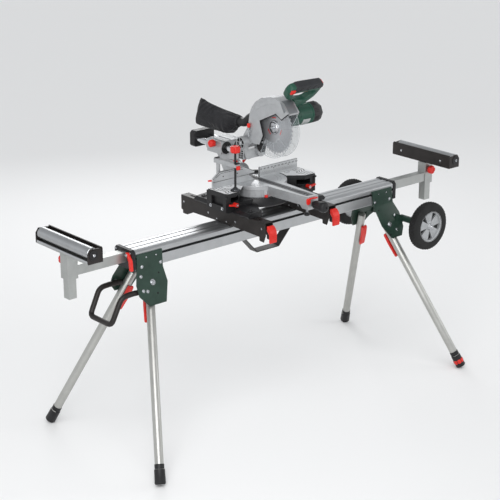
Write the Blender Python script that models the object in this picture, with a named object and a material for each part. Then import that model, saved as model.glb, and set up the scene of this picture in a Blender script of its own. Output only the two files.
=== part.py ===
"""Mitre saw on a folding roller stand. Metres, +Z up, floor at z = 0, the user stands on the -Y side."""

from math import cos, pi, radians, sin

import bmesh
import bpy
from mathutils import Matrix, Vector

# The beam's middle, measured from the point on the floor under the middle of the whole object
ORIGIN = (0.0, 0.008, -0.0003)

# Stand
WORK_HEIGHT = 0.895  # top of the cross arms, which carry the saw
BEAM_HALF = 0.715
BEAM_HALF_WIDTH = 0.055
BEAM_TOP = 0.8345
BEAM_BOTTOM = 0.754
TUBE_Z = 0.8055  # centre line of the extension tubes
TUBE_HALF = 0.020
TUBE_INNER_END = 0.20
SLEEVE_X = 0.985
POST_HALF = 0.0175
ROLLER_Z = 0.915
ROLLER_X = 0.992
ROLLER_RADIUS = 0.0235
ROLLER_HALF = 0.166
ARM_X = (-0.214, 0.132)
ARM_HALF_LENGTH = 0.266
ARM_HALF_WIDTH = 0.021
PLATE_LEAN = radians(25)
BEND_Z = 0.745
BEND_Y = 0.0575
PIVOT_X = 0.655
PIVOT_DROP = {-1: 0.050, 1: 0.092}  # the right legs hang lower, so that the folded legs nest
FOOT_X = 0.866
LEG_RADIUS = 0.0175
LEG_INSET = 0.0215
WHEEL_X, WHEEL_Y, WHEEL_Z, WHEEL_RADIUS = 0.749, 0.240, 0.670, 0.108

# Saw, in its own frame: blade plane x = 0, fence face y = 0, soles of its feet z = 0
SAW_AT = (-0.041, 0.0, WORK_HEIGHT + 0.0004)
TABLE_Z = 0.090
DISC_RADIUS = 0.122
BLADE_Y, BLADE_Z, BLADE_RADIUS = -0.105, 0.327, 0.108
CHOP_Y, CHOP_Z = 0.040, 0.243
RAIL_X, RAIL_Z, RAIL_RADIUS = 0.034, 0.195, 0.0125
SLIDE_Y = 0.21
CLAMP_X = -0.186
GRIP_ORIGIN = Vector((0.0, -0.140, 0.412))
GRIP_UP = Vector((0.0, -0.65, 0.76)).normalized()

GAP = 0.0004

STAND = "stand_frame"
SAW = "saw_frame"


def clear_scene():
    for obj in list(bpy.data.objects):
        bpy.data.objects.remove(obj)


def empty(name, at, parent=None):
    """An empty at a point of its parent's frame; joints turn or slide about one."""
    found = bpy.data.objects.new(name, None)
    found.empty_display_size = 0.03
    bpy.context.scene.collection.objects.link(found)
    if parent:
        found.parent = bpy.data.objects[parent]
    found.matrix_basis = Matrix.Translation(at)
    return found


def frame_of(name):
    """World matrix of an empty, worked out from its parents."""
    if not name:
        return Matrix.Identity(4)
    obj = bpy.data.objects[name]
    above = frame_of(obj.parent.name) if obj.parent else Matrix.Identity(4)
    return above @ obj.matrix_basis


MATERIALS = {
    "aluminium": ((0.62, 0.63, 0.64), 1.0, 0.32),
    "cast_silver": ((0.66, 0.67, 0.68), 0.9, 0.38),
    "steel": ((0.55, 0.56, 0.58), 1.0, 0.22),
    "black_paint": ((0.025, 0.022, 0.020), 0.0, 0.42),
    "black_plastic": ((0.018, 0.018, 0.019), 0.0, 0.5),
    "green_paint": ((0.018, 0.055, 0.035), 0.0, 0.38),
    "green_plastic": ((0.015, 0.085, 0.050), 0.0, 0.42),
    "red_plastic": ((0.62, 0.030, 0.025), 0.0, 0.4),
    "rubber": ((0.020, 0.020, 0.020), 0.0, 0.75),
    "clear_plastic": ((0.75, 0.78, 0.80), 0.0, 0.08),
    "cloth": ((0.022, 0.022, 0.024), 0.0, 0.9),
    "insert_grey": ((0.09, 0.09, 0.095), 0.0, 0.5),
}


def paint(obj, kind):
    colour, metallic, roughness = MATERIALS[kind]
    material = bpy.data.materials.new(obj.name + "_" + kind)
    material.use_nodes = True
    shader = material.node_tree.nodes["Principled BSDF"]
    shader.inputs["Base Color"].default_value = (*colour, 1.0)
    shader.inputs["Metallic"].default_value = metallic
    shader.inputs["Roughness"].default_value = roughness
    obj.data.materials.append(material)


def solid(points, faces):
    """A bmesh from points and faces, with its normals outward."""
    made = bmesh.new()
    corners = [made.verts.new(p) for p in points]
    for face in faces:
        made.faces.new([corners[i] for i in face])
    bmesh.ops.recalc_face_normals(made, faces=made.faces)
    return made


def turned(axis, u, v, h):
    """The point with section coordinates u, v and height h along the named axis."""
    if axis == "X":
        return Vector((h, u, v))
    if axis == "Y":
        return Vector((u, h, v))
    return Vector((u, v, h))


def prism(axis, outline, low, high):
    """A polygon pushed out along an axis; the outline is (y,z), (x,z) or (x,y)."""
    n = len(outline)
    points = [turned(axis, u, v, low) for u, v in outline]
    points += [turned(axis, u, v, high) for u, v in outline]
    faces = [tuple(range(n)), tuple(range(n, 2 * n))]
    faces += [(i, (i + 1) % n, n + (i + 1) % n, n + i) for i in range(n)]
    return solid(points, faces)


def box(x0, x1, y0, y1, z0, z1):
    return prism("Z", [(x0, y0), (x1, y0), (x1, y1), (x0, y1)], z0, z1)


def circle(cu, cv, radius, steps=24, start=0.0, end=2 * pi):
    full = abs(end - start - 2 * pi) < 1e-9
    count = steps if full else steps + 1
    step = (end - start) / steps
    return [(cu + radius * cos(start + i * step), cv + radius * sin(start + i * step))
            for i in range(count)]


def star(cu, cv, radius, swell, lobes):
    """The outline of a knob with rounded lobes."""
    found = []
    for i in range(6 * lobes):
        angle = 2 * pi * i / (6 * lobes)
        reach = radius + swell * cos(lobes * angle)
        found.append((cu + reach * cos(angle), cv + reach * sin(angle)))
    return found


def cylinder(axis, cu, cv, radius, low, high, steps=24):
    return prism(axis, circle(cu, cv, radius, steps), low, high)


def lathe(axis, cu, cv, profile, steps=24):
    """A closed (radius, height) profile turned about an axis through (cu, cv)."""
    points, faces, rings = [], [], []
    for radius, height in profile:
        if radius < 1e-6:
            rings.append([len(points)] * steps)
            points.append(turned(axis, cu, cv, height))
            continue
        rings.append(list(range(len(points), len(points) + steps)))
        for u, v in circle(cu, cv, radius, steps):
            points.append(turned(axis, u, v, height))
    for low, high in zip(rings, rings[1:] + rings[:1]):
        for i in range(steps):
            j = (i + 1) % steps
            face = list(dict.fromkeys((low[i], low[j], high[j], high[i])))
            if len(face) > 2:
                faces.append(tuple(face))
    return solid(points, faces)


def bent(path, radius, steps=3):
    """A path with each inner corner rounded."""
    path = [Vector(p) for p in path]
    found = [path[0]]
    for before, corner, after in zip(path, path[1:], path[2:]):
        a = corner + (before - corner).normalized() * radius
        b = corner + (after - corner).normalized() * radius
        for i in range(steps + 1):
            t = i / steps
            found.append(a * (1 - t) ** 2 + corner * 2 * t * (1 - t) + b * t * t)
    found.append(path[-1])
    return found


def tube(path, radius, steps=12):
    """A round bar along a path."""
    path = [Vector(p) for p in path]
    side = Vector((0.0, 0.0, 1.0))
    if abs((path[1] - path[0]).normalized().dot(side)) > 0.9:
        side = Vector((0.0, 1.0, 0.0))
    rings, points, faces = [], [], []
    for i, at in enumerate(path):
        ahead = (path[min(i + 1, len(path) - 1)] - path[max(i - 1, 0)]).normalized()
        side = (side - ahead * side.dot(ahead)).normalized()
        other = ahead.cross(side)
        rings.append(range(len(points), len(points) + steps))
        for k in range(steps):
            angle = 2 * pi * k / steps
            points.append(at + (side * cos(angle) + other * sin(angle)) * radius)
    for low, high in zip(rings, rings[1:]):
        for i in range(steps):
            j = (i + 1) % steps
            faces.append((low[i], low[j], high[j], high[i]))
    faces.append(tuple(rings[0]))
    faces.append(tuple(rings[-1]))
    return solid(points, faces)


def loft(sections):
    """A closed skin through rings of equal length."""
    steps = len(sections[0])
    points = [p for ring in sections for p in ring]
    faces = [tuple(range(steps)), tuple(range(len(points) - steps, len(points)))]
    for row in range(len(sections) - 1):
        for i in range(steps):
            j = (i + 1) % steps
            a = row * steps
            faces.append((a + i, a + j, a + steps + j, a + steps + i))
    return solid(points, faces)


def slab(outline, low, high):
    """A plate in the tilted plane of the D-handle: x along the grip, w up the plane."""
    across = Vector((1.0, 0.0, 0.0)).cross(GRIP_UP)
    n = len(outline)
    points = []
    for h in (low, high):
        for x, w in outline:
            points.append(GRIP_ORIGIN + Vector((x, 0.0, 0.0)) + GRIP_UP * w + across * h)
    faces = [tuple(range(n)), tuple(range(n, 2 * n))]
    faces += [(i, (i + 1) % n, n + (i + 1) % n, n + i) for i in range(n)]
    return solid(points, faces)


def link(name, shape, frame):
    mesh = bpy.data.meshes.new(name)
    shape.to_mesh(mesh)
    shape.free()
    obj = bpy.data.objects.new(name, mesh)
    bpy.context.scene.collection.objects.link(obj)
    obj.parent = bpy.data.objects[frame]
    return obj


def part(name, kind, frame, shapes, cuts=(), joint=None):
    """One sub-part: the first shape, joined with the others, less the cuts.

    joint is the empty that the finished piece hangs from; its shapes are given
    in the coordinates of frame.
    """
    made = link(name, shapes[0], frame)
    for i, shape in enumerate(shapes[1:]):
        combine(made, link(f"{name}_add{i}", shape, frame), "UNION")
    for i, shape in enumerate(cuts):
        combine(made, link(f"{name}_cut{i}", shape, frame), "DIFFERENCE")
    if joint:
        shift = frame_of(joint).inverted() @ frame_of(frame)
        made.data.transform(shift)
        made.parent = bpy.data.objects[joint]
    paint(made, kind)
    return made


def combine(made, helper, operation):
    helper.hide_render = True
    helper.display_type = "WIRE"
    step = made.modifiers.new(helper.name, "BOOLEAN")
    step.operation = operation
    step.solver = "EXACT"
    step.object = helper


def side_name(side):
    return "left" if side < 0 else "right"


def end_name(side):
    return "front" if side < 0 else "rear"


# ---------------------------------------------------------------- stand

def make_beam():
    top, low, w = BEAM_TOP, BEAM_BOTTOM, BEAM_HALF_WIDTH
    half = [(0.010, top), (0.014, top - 0.002), (0.022, top - 0.002), (0.026, top),
            (0.040, top), (0.049, top - 0.003), (w - 0.001, top - 0.009),
            (w, top - 0.018), (w - 0.001, top - 0.027), (w - 0.006, top - 0.030),
            (w - 0.006, top - 0.036), (w - 0.001, top - 0.038), (w - 0.001, low + 0.003),
            (w - 0.004, low)]
    outline = half + [(-y, z) for y, z in reversed(half)]
    bore = TUBE_HALF + 0.0006
    part("beam", "aluminium", STAND, [prism("X", outline, -BEAM_HALF, BEAM_HALF)],
         [box(-1, 1, -bore, bore, TUBE_Z - bore, TUBE_Z + bore)])


def make_beam_cap(side):
    a, b = sorted((side * (BEAM_HALF + GAP), side * (BEAM_HALF + 0.018)))
    w, bore = BEAM_HALF_WIDTH + 0.002, TUBE_HALF + 0.0006
    outline = [(-w, BEAM_BOTTOM + 0.004), (w, BEAM_BOTTOM + 0.004), (w, BEAM_TOP - 0.008),
               (w - 0.010, BEAM_TOP + 0.003), (0.010 - w, BEAM_TOP + 0.003), (-w, BEAM_TOP - 0.008)]
    part("beam_cap_" + side_name(side), "black_plastic", STAND, [prism("X", outline, a, b)],
         [box(-1, 1, -bore, bore, TUBE_Z - bore, TUBE_Z + bore)])


def make_extension_lever(side):
    name = "extension_lever_" + side_name(side)
    y = side * 1.0  # the right lever is the left one turned half round
    face = BEAM_HALF + 0.018 + GAP
    joint = empty(name + "_axis", (side * face, -0.034 * -y, 0.818), STAND)
    a, b = sorted((side * face, side * (face + 0.012)))
    path = [(0.028, 0.828), (0.040, 0.828), (0.062, 0.800), (0.066, 0.758), (0.052, 0.758),
            (0.047, 0.795)]
    outline = [(u * y, v) for u, v in path]
    part(name, "red_plastic", STAND, [prism("X", outline, a, b)], joint=joint.name)


def make_extension_tube(side):
    name = "extension_tube_" + side_name(side)
    joint = empty(name + "_slide", (side * SLEEVE_X, 0, TUBE_Z), STAND)
    a, b = sorted((side * TUBE_INNER_END, side * (SLEEVE_X - 0.01)))
    h, s = TUBE_HALF, 0.0235
    bore = POST_HALF + 0.0006
    x = side * SLEEVE_X
    part(name, "aluminium", STAND,
         [box(a, b, -h, h, TUBE_Z - h, TUBE_Z + h), box(x - s, x + s, -s, s, 0.774, 0.872)],
         [box(x - bore, x + bore, -bore, bore, 0.7, 1.0),
          cylinder("Y", x, 0.840, 0.0047, *sorted((0.0, -side * 0.05)), 12)],
         joint=joint.name)


def make_height_knob(side):
    name = "height_knob_" + side_name(side)
    joint = empty(name + "_axis", (side * SLEEVE_X, -side * 0.03, 0.840), STAND)
    x = side * SLEEVE_X
    lobes = star(x, 0.840, 0.0175, 0.0025, 5)
    part(name, "red_plastic", STAND,
         [prism("Y", lobes, *sorted((-side * 0.028, -side * 0.048))),
          cylinder("Y", x, 0.840, 0.004, *sorted((-side * 0.0182, -side * 0.040)), 12)],
         joint=joint.name)


def make_roller_stand(side):
    name = "roller_stand_" + side_name(side)
    joint = empty(name + "_slide", (side * SLEEVE_X, 0, 0.85), STAND)
    s, p = side, POST_HALF
    x = s * SLEEVE_X
    inner, outer = s * (SLEEVE_X - 0.034), s * (ROLLER_X + 0.025)
    a, b = sorted((inner, outer))
    stop = sorted((inner, inner + s * 0.0035))
    low, top, half = 0.878, 0.932, ROLLER_HALF + 0.003
    cheek = [(inner, low), (outer, low), (outer, 0.918), (s * (ROLLER_X + 0.012), 0.936), (inner, top)]
    part(name, "black_paint", STAND,
         [box(x - p, x + p, -p, p, 0.694, low + 0.003),
          box(a, b, -half, half, low, low + 0.004),
          box(*stop, -half - 0.006, half + 0.006, low, top),
          prism("Y", cheek, -half - 0.005, -half),
          prism("Y", cheek, half, half + 0.005)],
         [cylinder("Y", s * ROLLER_X, ROLLER_Z, 0.0055, -0.5, 0.5, 16)],
         joint=joint.name)


def make_roller(side):
    name = "roller_" + side_name(side)
    joint = empty(name + "_axle", (side * ROLLER_X, 0, ROLLER_Z), STAND)
    h, r = ROLLER_HALF, ROLLER_RADIUS
    profile = [(0, -h - 0.0085), (0.005, -h - 0.0085), (0.005, -h), (r - 0.002, -h), (r, -h + 0.002),
               (r, h - 0.002), (r - 0.002, h), (0.005, h), (0.005, h + 0.0085), (0, h + 0.0085)]
    part(name, "steel", STAND, [lathe("Y", side * ROLLER_X, ROLLER_Z, profile, 24)], joint=joint.name)


def make_cross_arm(index):
    side = -1 if index == 0 else 1
    x, w, l = ARM_X[index], ARM_HALF_WIDTH, ARM_HALF_LENGTH
    top, low = WORK_HEIGHT, BEAM_TOP + GAP
    profile = [(-l, top), (l, top), (l, top - 0.062), (l - 0.010, top - 0.066), (l - 0.012, top - 0.080),
               (l - 0.040, top - 0.080), (l - 0.080, top - 0.062), (0.062, low), (-0.062, low),
               (0.035 - l, top - 0.064), (0.034 - l, top - 0.080), (0.008 - l, top - 0.082),
               (-l - 0.004, top - 0.050)]
    wall = 0.003
    inner = [(-l - 0.1, top - wall), (l + 0.1, top - wall), (l + 0.1, top - 0.2), (-l - 0.1, top - 0.2)]
    part("cross_arm_" + side_name(side), "black_paint", STAND, [prism("X", profile, x - w, x + w)],
         [prism("X", inner, x - w + wall, x + w - wall),
          box(x - 0.0045, x + 0.0045, -0.225, -0.020, top - 0.01, top + 0.01),
          box(x - 0.0045, x + 0.0045, 0.020, 0.225, top - 0.01, top + 0.01)])


def make_arm_lever(index):
    side = -1 if index == 0 else 1
    x, l = ARM_X[index], ARM_HALF_LENGTH
    name = "arm_lever_" + side_name(side)
    joint = empty(name + "_axis", (x, -l + 0.006, 0.858), STAND)
    outer = [(-l - 0.0046, 0.884), (-l - 0.014, 0.882), (-l - 0.024, 0.872), (-l - 0.030, 0.858),
             (-l - 0.030, 0.818), (-l - 0.022, 0.814), (-l - 0.018, 0.818), (-l - 0.018, 0.850),
             (-l - 0.0046, 0.864)]
    part(name, "red_plastic", STAND, [prism("X", outer, x - 0.0165, x + 0.0165)], joint=joint.name)


def make_rest_foot():
    outer = [(-0.150, 0.7536), (-0.132, 0.7536), (-0.060, 0.676), (0.060, 0.676), (0.132, 0.7536),
             (0.150, 0.7536), (0.150, 0.7496), (0.134, 0.7496), (0.062, 0.672), (-0.062, 0.672),
             (-0.134, 0.7496), (-0.150, 0.7496)]
    part("rest_foot", "black_paint", STAND, [prism("Y", outer, -0.022, 0.022)])


def plate_section(t, drop):
    """The folded sheet of one bracket side: upright beside the beam, leaning below it."""
    up, out = 0.818, sin(PLATE_LEAN) / cos(PLATE_LEAN)
    inner, outer = BEND_Y - 0.002, BEND_Y + 0.002
    low = BEND_Z - drop
    return [(t * inner, up), (t * outer, up), (t * outer, BEND_Z + 0.0005),
            (t * (outer + drop * out + 0.0002), low), (t * (inner + drop * out - 0.0002), low),
            (t * inner, BEND_Z - 0.0005)]


def make_leg_bracket(side):
    s = side
    drop = 0.125 if s < 0 else 0.140
    x0, x1 = sorted((s * 0.575, s * 0.735))
    if s < 0:
        outline = [(-0.713, 0.83), (-0.590, 0.83), (-0.584, 0.690), (-0.620, BEND_Z - drop - 0.01),
                   (-0.690, BEND_Z - drop - 0.01), (-0.732, 0.660), (-0.732, 0.700), (-0.713, 0.748)]
        wings = []
    else:
        outline = [(0.576, 0.83), (0.700, 0.83), (0.713, 0.748), (0.735, 0.700), (0.735, 0.64),
                   (0.700, 0.590), (0.655, 0.590), (0.610, 0.66)]
        axle, boss = [], []
        for t in (-1, 1):
            axle.append(cylinder("Y", WHEEL_X, WHEEL_Z, 0.006, *sorted((t * 0.10, t * 0.266)), 16))
            boss.append(cylinder("Y", WHEEL_X, WHEEL_Z, 0.015, *sorted((t * 0.0805, t * 0.2165)), 16))
        web = [(0.700, 0.700), (0.752, 0.683), (0.752, 0.657), (0.700, 0.640)]
        wings = boss + axle
        wings += [prism("Y", web, t * 0.093 - 0.003, t * 0.093 + 0.003) for t in (-1, 1)]
    trim = prism("Y", outline, -0.3, 0.3)
    name = "leg_bracket_" + side_name(s)
    made = link(name, prism("X", plate_section(-1, drop), x0, x1), STAND)
    combine(made, link(name + "_rear", prism("X", plate_section(1, drop), x0, x1), STAND), "UNION")
    floor = box(x0, x1, -BEND_Y, BEND_Y, BEAM_BOTTOM - 0.006, BEAM_BOTTOM - GAP)
    combine(made, link(name + "_floor", floor, STAND), "UNION")
    trimmer = link(name + "_trim", trim, STAND)
    combine(made, trimmer, "INTERSECT")
    for i, wing in enumerate(wings):
        combine(made, link(f"{name}_wing{i}", wing, STAND), "UNION")
    paint(made, "green_paint")


def make_wheel(t):
    name = "wheel_" + end_name(t)
    joint = empty(name + "_axle", (WHEEL_X, t * WHEEL_Y, WHEEL_Z), STAND)
    c, r = t * WHEEL_Y, WHEEL_RADIUS
    profile = [(0.0066, -0.0215), (0.016, -0.0215), (0.018, -0.010), (0.056, -0.010), (0.062, -0.020),
               (0.070, -0.0225), (r - 0.010, -0.0225), (r, -0.014), (r, 0.014), (r - 0.010, 0.0225),
               (0.070, 0.0225), (0.062, 0.020), (0.056, 0.010), (0.018, 0.010), (0.016, 0.0215),
               (0.0066, 0.0215)]
    profile = [(a, c + b) for a, b in profile]
    part(name, "rubber", STAND, [lathe("Y", WHEEL_X, WHEEL_Z, profile, 32)], joint=joint.name)


def make_carry_handle():
    half = [(-0.694, 0.0730, 0.668), (-0.745, 0.0730, 0.672), (-0.800, 0.073, 0.668), (-0.850, 0.070, 0.566)]
    path = half + [(x, -y, z) for x, y, z in reversed(half)]
    part("carry_handle", "black_paint", STAND, [tube(bent(path, 0.022, 4), 0.0110, 14)])


def leg_frame(s, t):
    """The pivot of a leg: local -Z runs down the leg, local Y is the outward normal of its plate."""
    lean = PLATE_LEAN
    down = Vector((0.0, t * sin(lean), -cos(lean)))
    normal = Vector((0.0, t * cos(lean), sin(lean)))
    at = Vector((s * PIVOT_X, t * BEND_Y, BEND_Z)) + down * PIVOT_DROP[s] - normal * LEG_INSET
    reach = at.z / cos(lean)
    spread = (FOOT_X - PIVOT_X) / reach
    along = (down + Vector((s * spread, 0.0, 0.0))).normalized()
    length = reach * (1 + spread**2) ** 0.5
    z = -along
    x = normal.cross(z)
    turn = Matrix((x, normal, z)).transposed().to_4x4()
    return Matrix.Translation(at) @ turn, length


def make_leg(s, t):
    name = f"leg_{side_name(s)}_{end_name(t)}"
    frame, length = leg_frame(s, t)
    joint = empty(name + "_fold", (0, 0, 0), STAND)
    joint.matrix_basis = frame
    r = LEG_RADIUS
    cut = length - r * 0.62
    profile = [(0, 0.022), (r - 0.003, 0.022), (r, 0.019), (r, 0.060 - cut), (r + 0.0035, 0.058 - cut),
               (r + 0.0045, 0.004 - cut), (r + 0.001, -cut), (0, -cut)]
    part(name, "aluminium", joint.name, [lathe("Z", 0, 0, profile, 20)])
    return joint


def make_leg_latch(s, t):
    name = f"leg_latch_{side_name(s)}_{end_name(t)}"
    leg = f"leg_{side_name(s)}_{end_name(t)}_fold"
    joint = empty(name + "_axis", (0, 0, 0), STAND)
    joint.parent = bpy.data.objects[leg]
    joint.matrix_basis = Matrix.Translation((0, -0.027, -0.050))
    outline = [(-0.0212, -0.036), (-0.0212, -0.060), (-0.024, -0.085), (-0.023, -0.150),
               (-0.028, -0.154), (-0.034, -0.148), (-0.036, -0.085), (-0.034, -0.040),
               (-0.028, -0.034)]
    shape = prism("X", outline, -0.012, 0.012)
    made = link(name, shape, leg)
    made.data.transform(joint.matrix_basis.inverted())
    made.parent = joint
    paint(made, "red_plastic")


# ---------------------------------------------------------------- saw

def make_saw_base():
    ring = lathe("Z", 0, 0, [(0.055, 0.004), (0.128, 0.004), (0.134, 0.010), (0.134, 0.030),
                             (0.128, 0.042), (0.055, 0.042)], 40)
    shapes = [ring]
    cuts = []
    for s in (-1, 1):
        x = sorted((s * 0.100, s * 0.2350))
        shapes.append(box(*x, -0.086, 0.046, 0.006, 0.0405))
        wing = [(s * 0.128, 0.046), (s * 0.128, -0.038), (s * 0.188, -0.0855), (s * 0.2348, -0.0855),
                (s * 0.2348, 0.046)]
        shapes.append(prism("Z", wing, 0.030, 0.0772))
        pad = [(s * 0.140, 0.0), (s * 0.206, 0.0), (s * 0.212, 0.008), (s * 0.200, 0.020), (s * 0.140, 0.024)]
        shapes.append(prism("Y", pad, -0.185, -0.080))
        shapes.append(prism("Y", pad, 0.040, 0.158))
        strut = [(s * 0.085, -0.085), (s * 0.130, -0.050), (s * 0.165, -0.1845), (s * 0.141, -0.1845)]
        shapes.append(prism("Z", strut, 0.0055, 0.0195))
        strut = [(s * 0.085, 0.085), (s * 0.130, 0.040), (s * 0.165, 0.150), (s * 0.141, 0.1575)]
        shapes.append(prism("Z", strut, 0.0055, 0.0195))
        for y in (-0.066, 0.006):
            cuts.append(cylinder("X", y, 0.024, 0.0056, *sorted((s * 0.076, s * 0.3)), 14))
        window = [(s * 0.160, 0.048), (s * 0.218, 0.048), (s * 0.218, 0.068), (s * 0.160, 0.068)]
        cuts.append(prism("Y", window, -0.2, -0.020))
    shapes.append(box(-0.060, 0.060, 0.090, 0.128, 0.0045, 0.0395))
    cuts.append(cylinder("Z", CLAMP_X, 0.030, 0.0086, 0.070, 0.09, 20))
    part("saw_base", "black_paint", SAW, shapes, cuts)


def make_turntable():
    joint = empty("turntable_pivot", (0, 0, 0), SAW)
    r = DISC_RADIUS
    disc = lathe("Z", 0, 0, [(0, 0.0424), (r - 0.006, 0.0424), (r - 0.006, 0.0715), (r, 0.074),
                             (r, TABLE_Z - 0.001), (r - 0.001, TABLE_Z), (0, TABLE_Z)], 48)
    arm = prism("Z", [(-0.046, -0.080), (-0.032, -0.300), (-0.027, -0.335), (0.027, -0.335),
                      (0.032, -0.300), (0.046, -0.080)], 0.052, TABLE_Z)
    tip = prism("X", [(-0.3345, 0.0895), (-0.270, 0.0895), (-0.285, 0.048), (-0.300, 0.036),
                      (-0.3345, 0.036)], -0.026, 0.026)
    rear = box(-0.050, 0.050, 0.085, 0.1255, 0.0445, 0.0885)
    barrel = cylinder("Y", 0, TABLE_Z, 0.046, 0.104, 0.1252, 32)
    cuts = [box(-0.0185, 0.0185, -0.3185, 0.0725, 0.0864, 0.12),
            box(-0.0045, 0.0045, -0.3160, 0.070, 0.066, 0.12),
            cylinder("Z", 0, -0.3, 0.0052, 0.02, 0.07, 14)]
    part("turntable", "cast_silver", SAW, [disc, arm, tip, rear, barrel], cuts, joint.name)


def make_table_insert():
    slot = [(-0.0022, 0.085), (-0.0022, 0.091), (0.0022, 0.091), (0.0022, 0.0893), (0.0056, 0.085)]
    part("table_insert", "insert_grey", SAW, [box(-0.0180, 0.0180, -0.3180, 0.0720, 0.0868, 0.0897)],
         [prism("Y", slot, -0.305, 0.060)], "turntable_pivot")


def make_fence():
    right = prism("Y", [(0.010, 0.0904), (0.222, 0.0904), (0.222, 0.137), (0.014, 0.137), (0.010, 0.133)],
                  0.0, 0.007)
    left = prism("Y", [(-0.240, 0.0904), (-0.012, 0.0904), (-0.048, 0.118), (-0.240, 0.118)], 0.0, 0.007)
    arch = circle(0, 0, 0.100, 24, radians(3), radians(177))
    arch += circle(0, 0, 0.088, 24, radians(3), radians(177))[::-1]
    bridge = prism("Z", arch, 0.0906, 0.100)
    feet = [box(*sorted((s * 0.132, s * 0.2215)), 0.0065, 0.020, 0.0905, 0.097) for s in (-1, 1)]
    cuts = [cylinder("Z", CLAMP_X, 0.030, 0.0086, 0.08, 0.11, 20)]
    part("fence", "aluminium", SAW, [right, left, bridge] + feet, cuts)


def make_sliding_fence():
    joint = empty("sliding_fence_slide", (-0.13, 0.0035, 0.125), SAW)
    outline = [(-0.240, 0.1184), (-0.017, 0.1184), (-0.017, 0.127), (-0.075, 0.156), (-0.205, 0.156),
               (-0.236, 0.134), (-0.240, 0.128)]
    part("sliding_fence", "aluminium", SAW, [prism("Y", outline, 0.0, 0.008)], joint=joint.name)


def make_side_table(side):
    name = "side_table_" + side_name(side)
    s = side
    joint = empty(name + "_slide", (s * 0.19, -0.03, 0.08), SAW)
    arc = [(s * 0.1262 * cos(a), 0.1262 * sin(a)) for a in
           (radians(v) for v in (6, -1, -8, -15, -21))]
    outline = [(s * 0.246, 0.022), (s * 0.1262, 0.022)] + arc
    outline += [(s * 0.182, -0.0945), (s * 0.236, -0.0945), (s * 0.246, -0.082)]
    plate = prism("Z", outline, 0.0776, TABLE_Z)
    end = box(*sorted((s * 0.2354, s * 0.2459)), -0.088, 0.020, 0.010, 0.080)
    rods = [cylinder("X", y, 0.024, 0.0050, *sorted((s * 0.078, s * 0.240)), 12) for y in (-0.066, 0.006)]
    window = [(-0.070, 0.034), (0.002, 0.034), (0.002, 0.068), (-0.070, 0.068)]
    part(name, "cast_silver", SAW, [plate, end] + rods,
         [prism("X", window, *sorted((s * 0.231, s * 0.26)))], joint.name)


def make_side_table_lever(side):
    name = "side_table_lever_" + side_name(side)
    s = side
    x = s * 0.200
    joint = empty(name + "_axis", (x, -0.095, 0.038), SAW)
    z = 0.038
    arm = [(x - s * 0.004, z + 0.004), (x + s * 0.034, z + 0.008), (x + s * 0.036, z + 0.002), (x, z - 0.005)]
    part(name, "red_plastic", SAW,
         [cylinder("Y", x, z, 0.0085, -0.1055, -0.0864, 20), prism("Y", arm, -0.1035, -0.0955)],
         joint=joint.name)


def make_mitre_handle():
    joint = empty("mitre_handle_axis", (0, -0.36, 0.058), SAW)
    profile = [(0, -0.335 - GAP), (0.010, -0.335 - GAP), (0.012, -0.340), (0.0165, -0.346),
               (0.0180, -0.356), (0.0200, -0.376), (0.0225, -0.392), (0.0215, -0.402),
               (0.0165, -0.409), (0.006, -0.411), (0, -0.409)]
    part("mitre_handle", "black_plastic", SAW, [lathe("Y", 0, 0.058, profile, 24)], joint=joint.name)


def make_mitre_latch():
    joint = empty("mitre_latch_axis", (0.010, -0.343, 0.085), SAW)
    outline = [(-0.058, -0.339), (-0.052, -0.347), (-0.020, -0.3455), (0.014, -0.350), (0.018, -0.343),
               (0.012, -0.3368), (-0.050, -0.3362)]
    part("mitre_latch", "red_plastic", SAW, [prism("Z", outline, 0.0815, 0.0885)], joint=joint.name)


def make_bevel_arm():
    joint = empty("bevel_axis", (0, 0.14, TABLE_Z), SAW)
    barrel = cylinder("Y", 0, TABLE_Z, 0.044, 0.1256, 0.162, 32)
    neck = prism("X", [(0.128, 0.098), (0.160, 0.060), (0.182, 0.080), (0.232, 0.160), (0.236, 0.178),
                       (0.162, 0.178), (0.150, 0.140), (0.128, 0.126)], -0.026, 0.026)
    shapes = [barrel, neck, box(-0.058, 0.058, 0.166, 0.256, 0.168, 0.222)]
    shapes += [cylinder("Y", s * RAIL_X, RAIL_Z, 0.0285, 0.158, 0.258, 24) for s in (-1, 1)]
    cuts = [cylinder("Y", s * RAIL_X, RAIL_Z, RAIL_RADIUS + 0.0005, 0.10, 0.30, 24) for s in (-1, 1)]
    cuts.append(cylinder("X", 0.202, 0.212, 0.0052, -0.1, -0.040, 12))
    part("bevel_arm", "cast_silver", SAW, shapes, cuts, joint.name)


def make_slide_knob():
    joint = empty("slide_lock_knob_axis", (-0.075, 0.202, 0.212), SAW)
    lobes = star(0.202, 0.212, 0.0135, 0.0022, 5)
    part("slide_lock_knob", "red_plastic", SAW,
         [prism("X", lobes, -0.088, -0.066), cylinder("X", 0.202, 0.212, 0.0046, -0.075, -0.0485, 12)],
         joint=joint.name)


def make_rails():
    empty("carriage_slide", (0, SLIDE_Y, RAIL_Z), SAW)
    for s in (-1, 1):
        part("rail_" + side_name(s), "steel", SAW,
             [cylinder("Y", s * RAIL_X, RAIL_Z, RAIL_RADIUS, 0.0304, 0.3600, 24)], joint="carriage_slide")


def make_rail_cap():
    w = 0.055
    outline = [(-w, 0.170), (0.008 - w, 0.163), (w - 0.008, 0.163), (w, 0.170), (w, 0.222),
               (w - 0.010, 0.232), (0.010 - w, 0.232), (-w, 0.222)]
    part("rail_cap", "black_plastic", SAW, [prism("Y", outline, 0.345, 0.376)],
         [cylinder("Y", s * RAIL_X, RAIL_Z, RAIL_RADIUS + 0.0004, 0.3, 0.3604, 24) for s in (-1, 1)],
         "carriage_slide")


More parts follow.
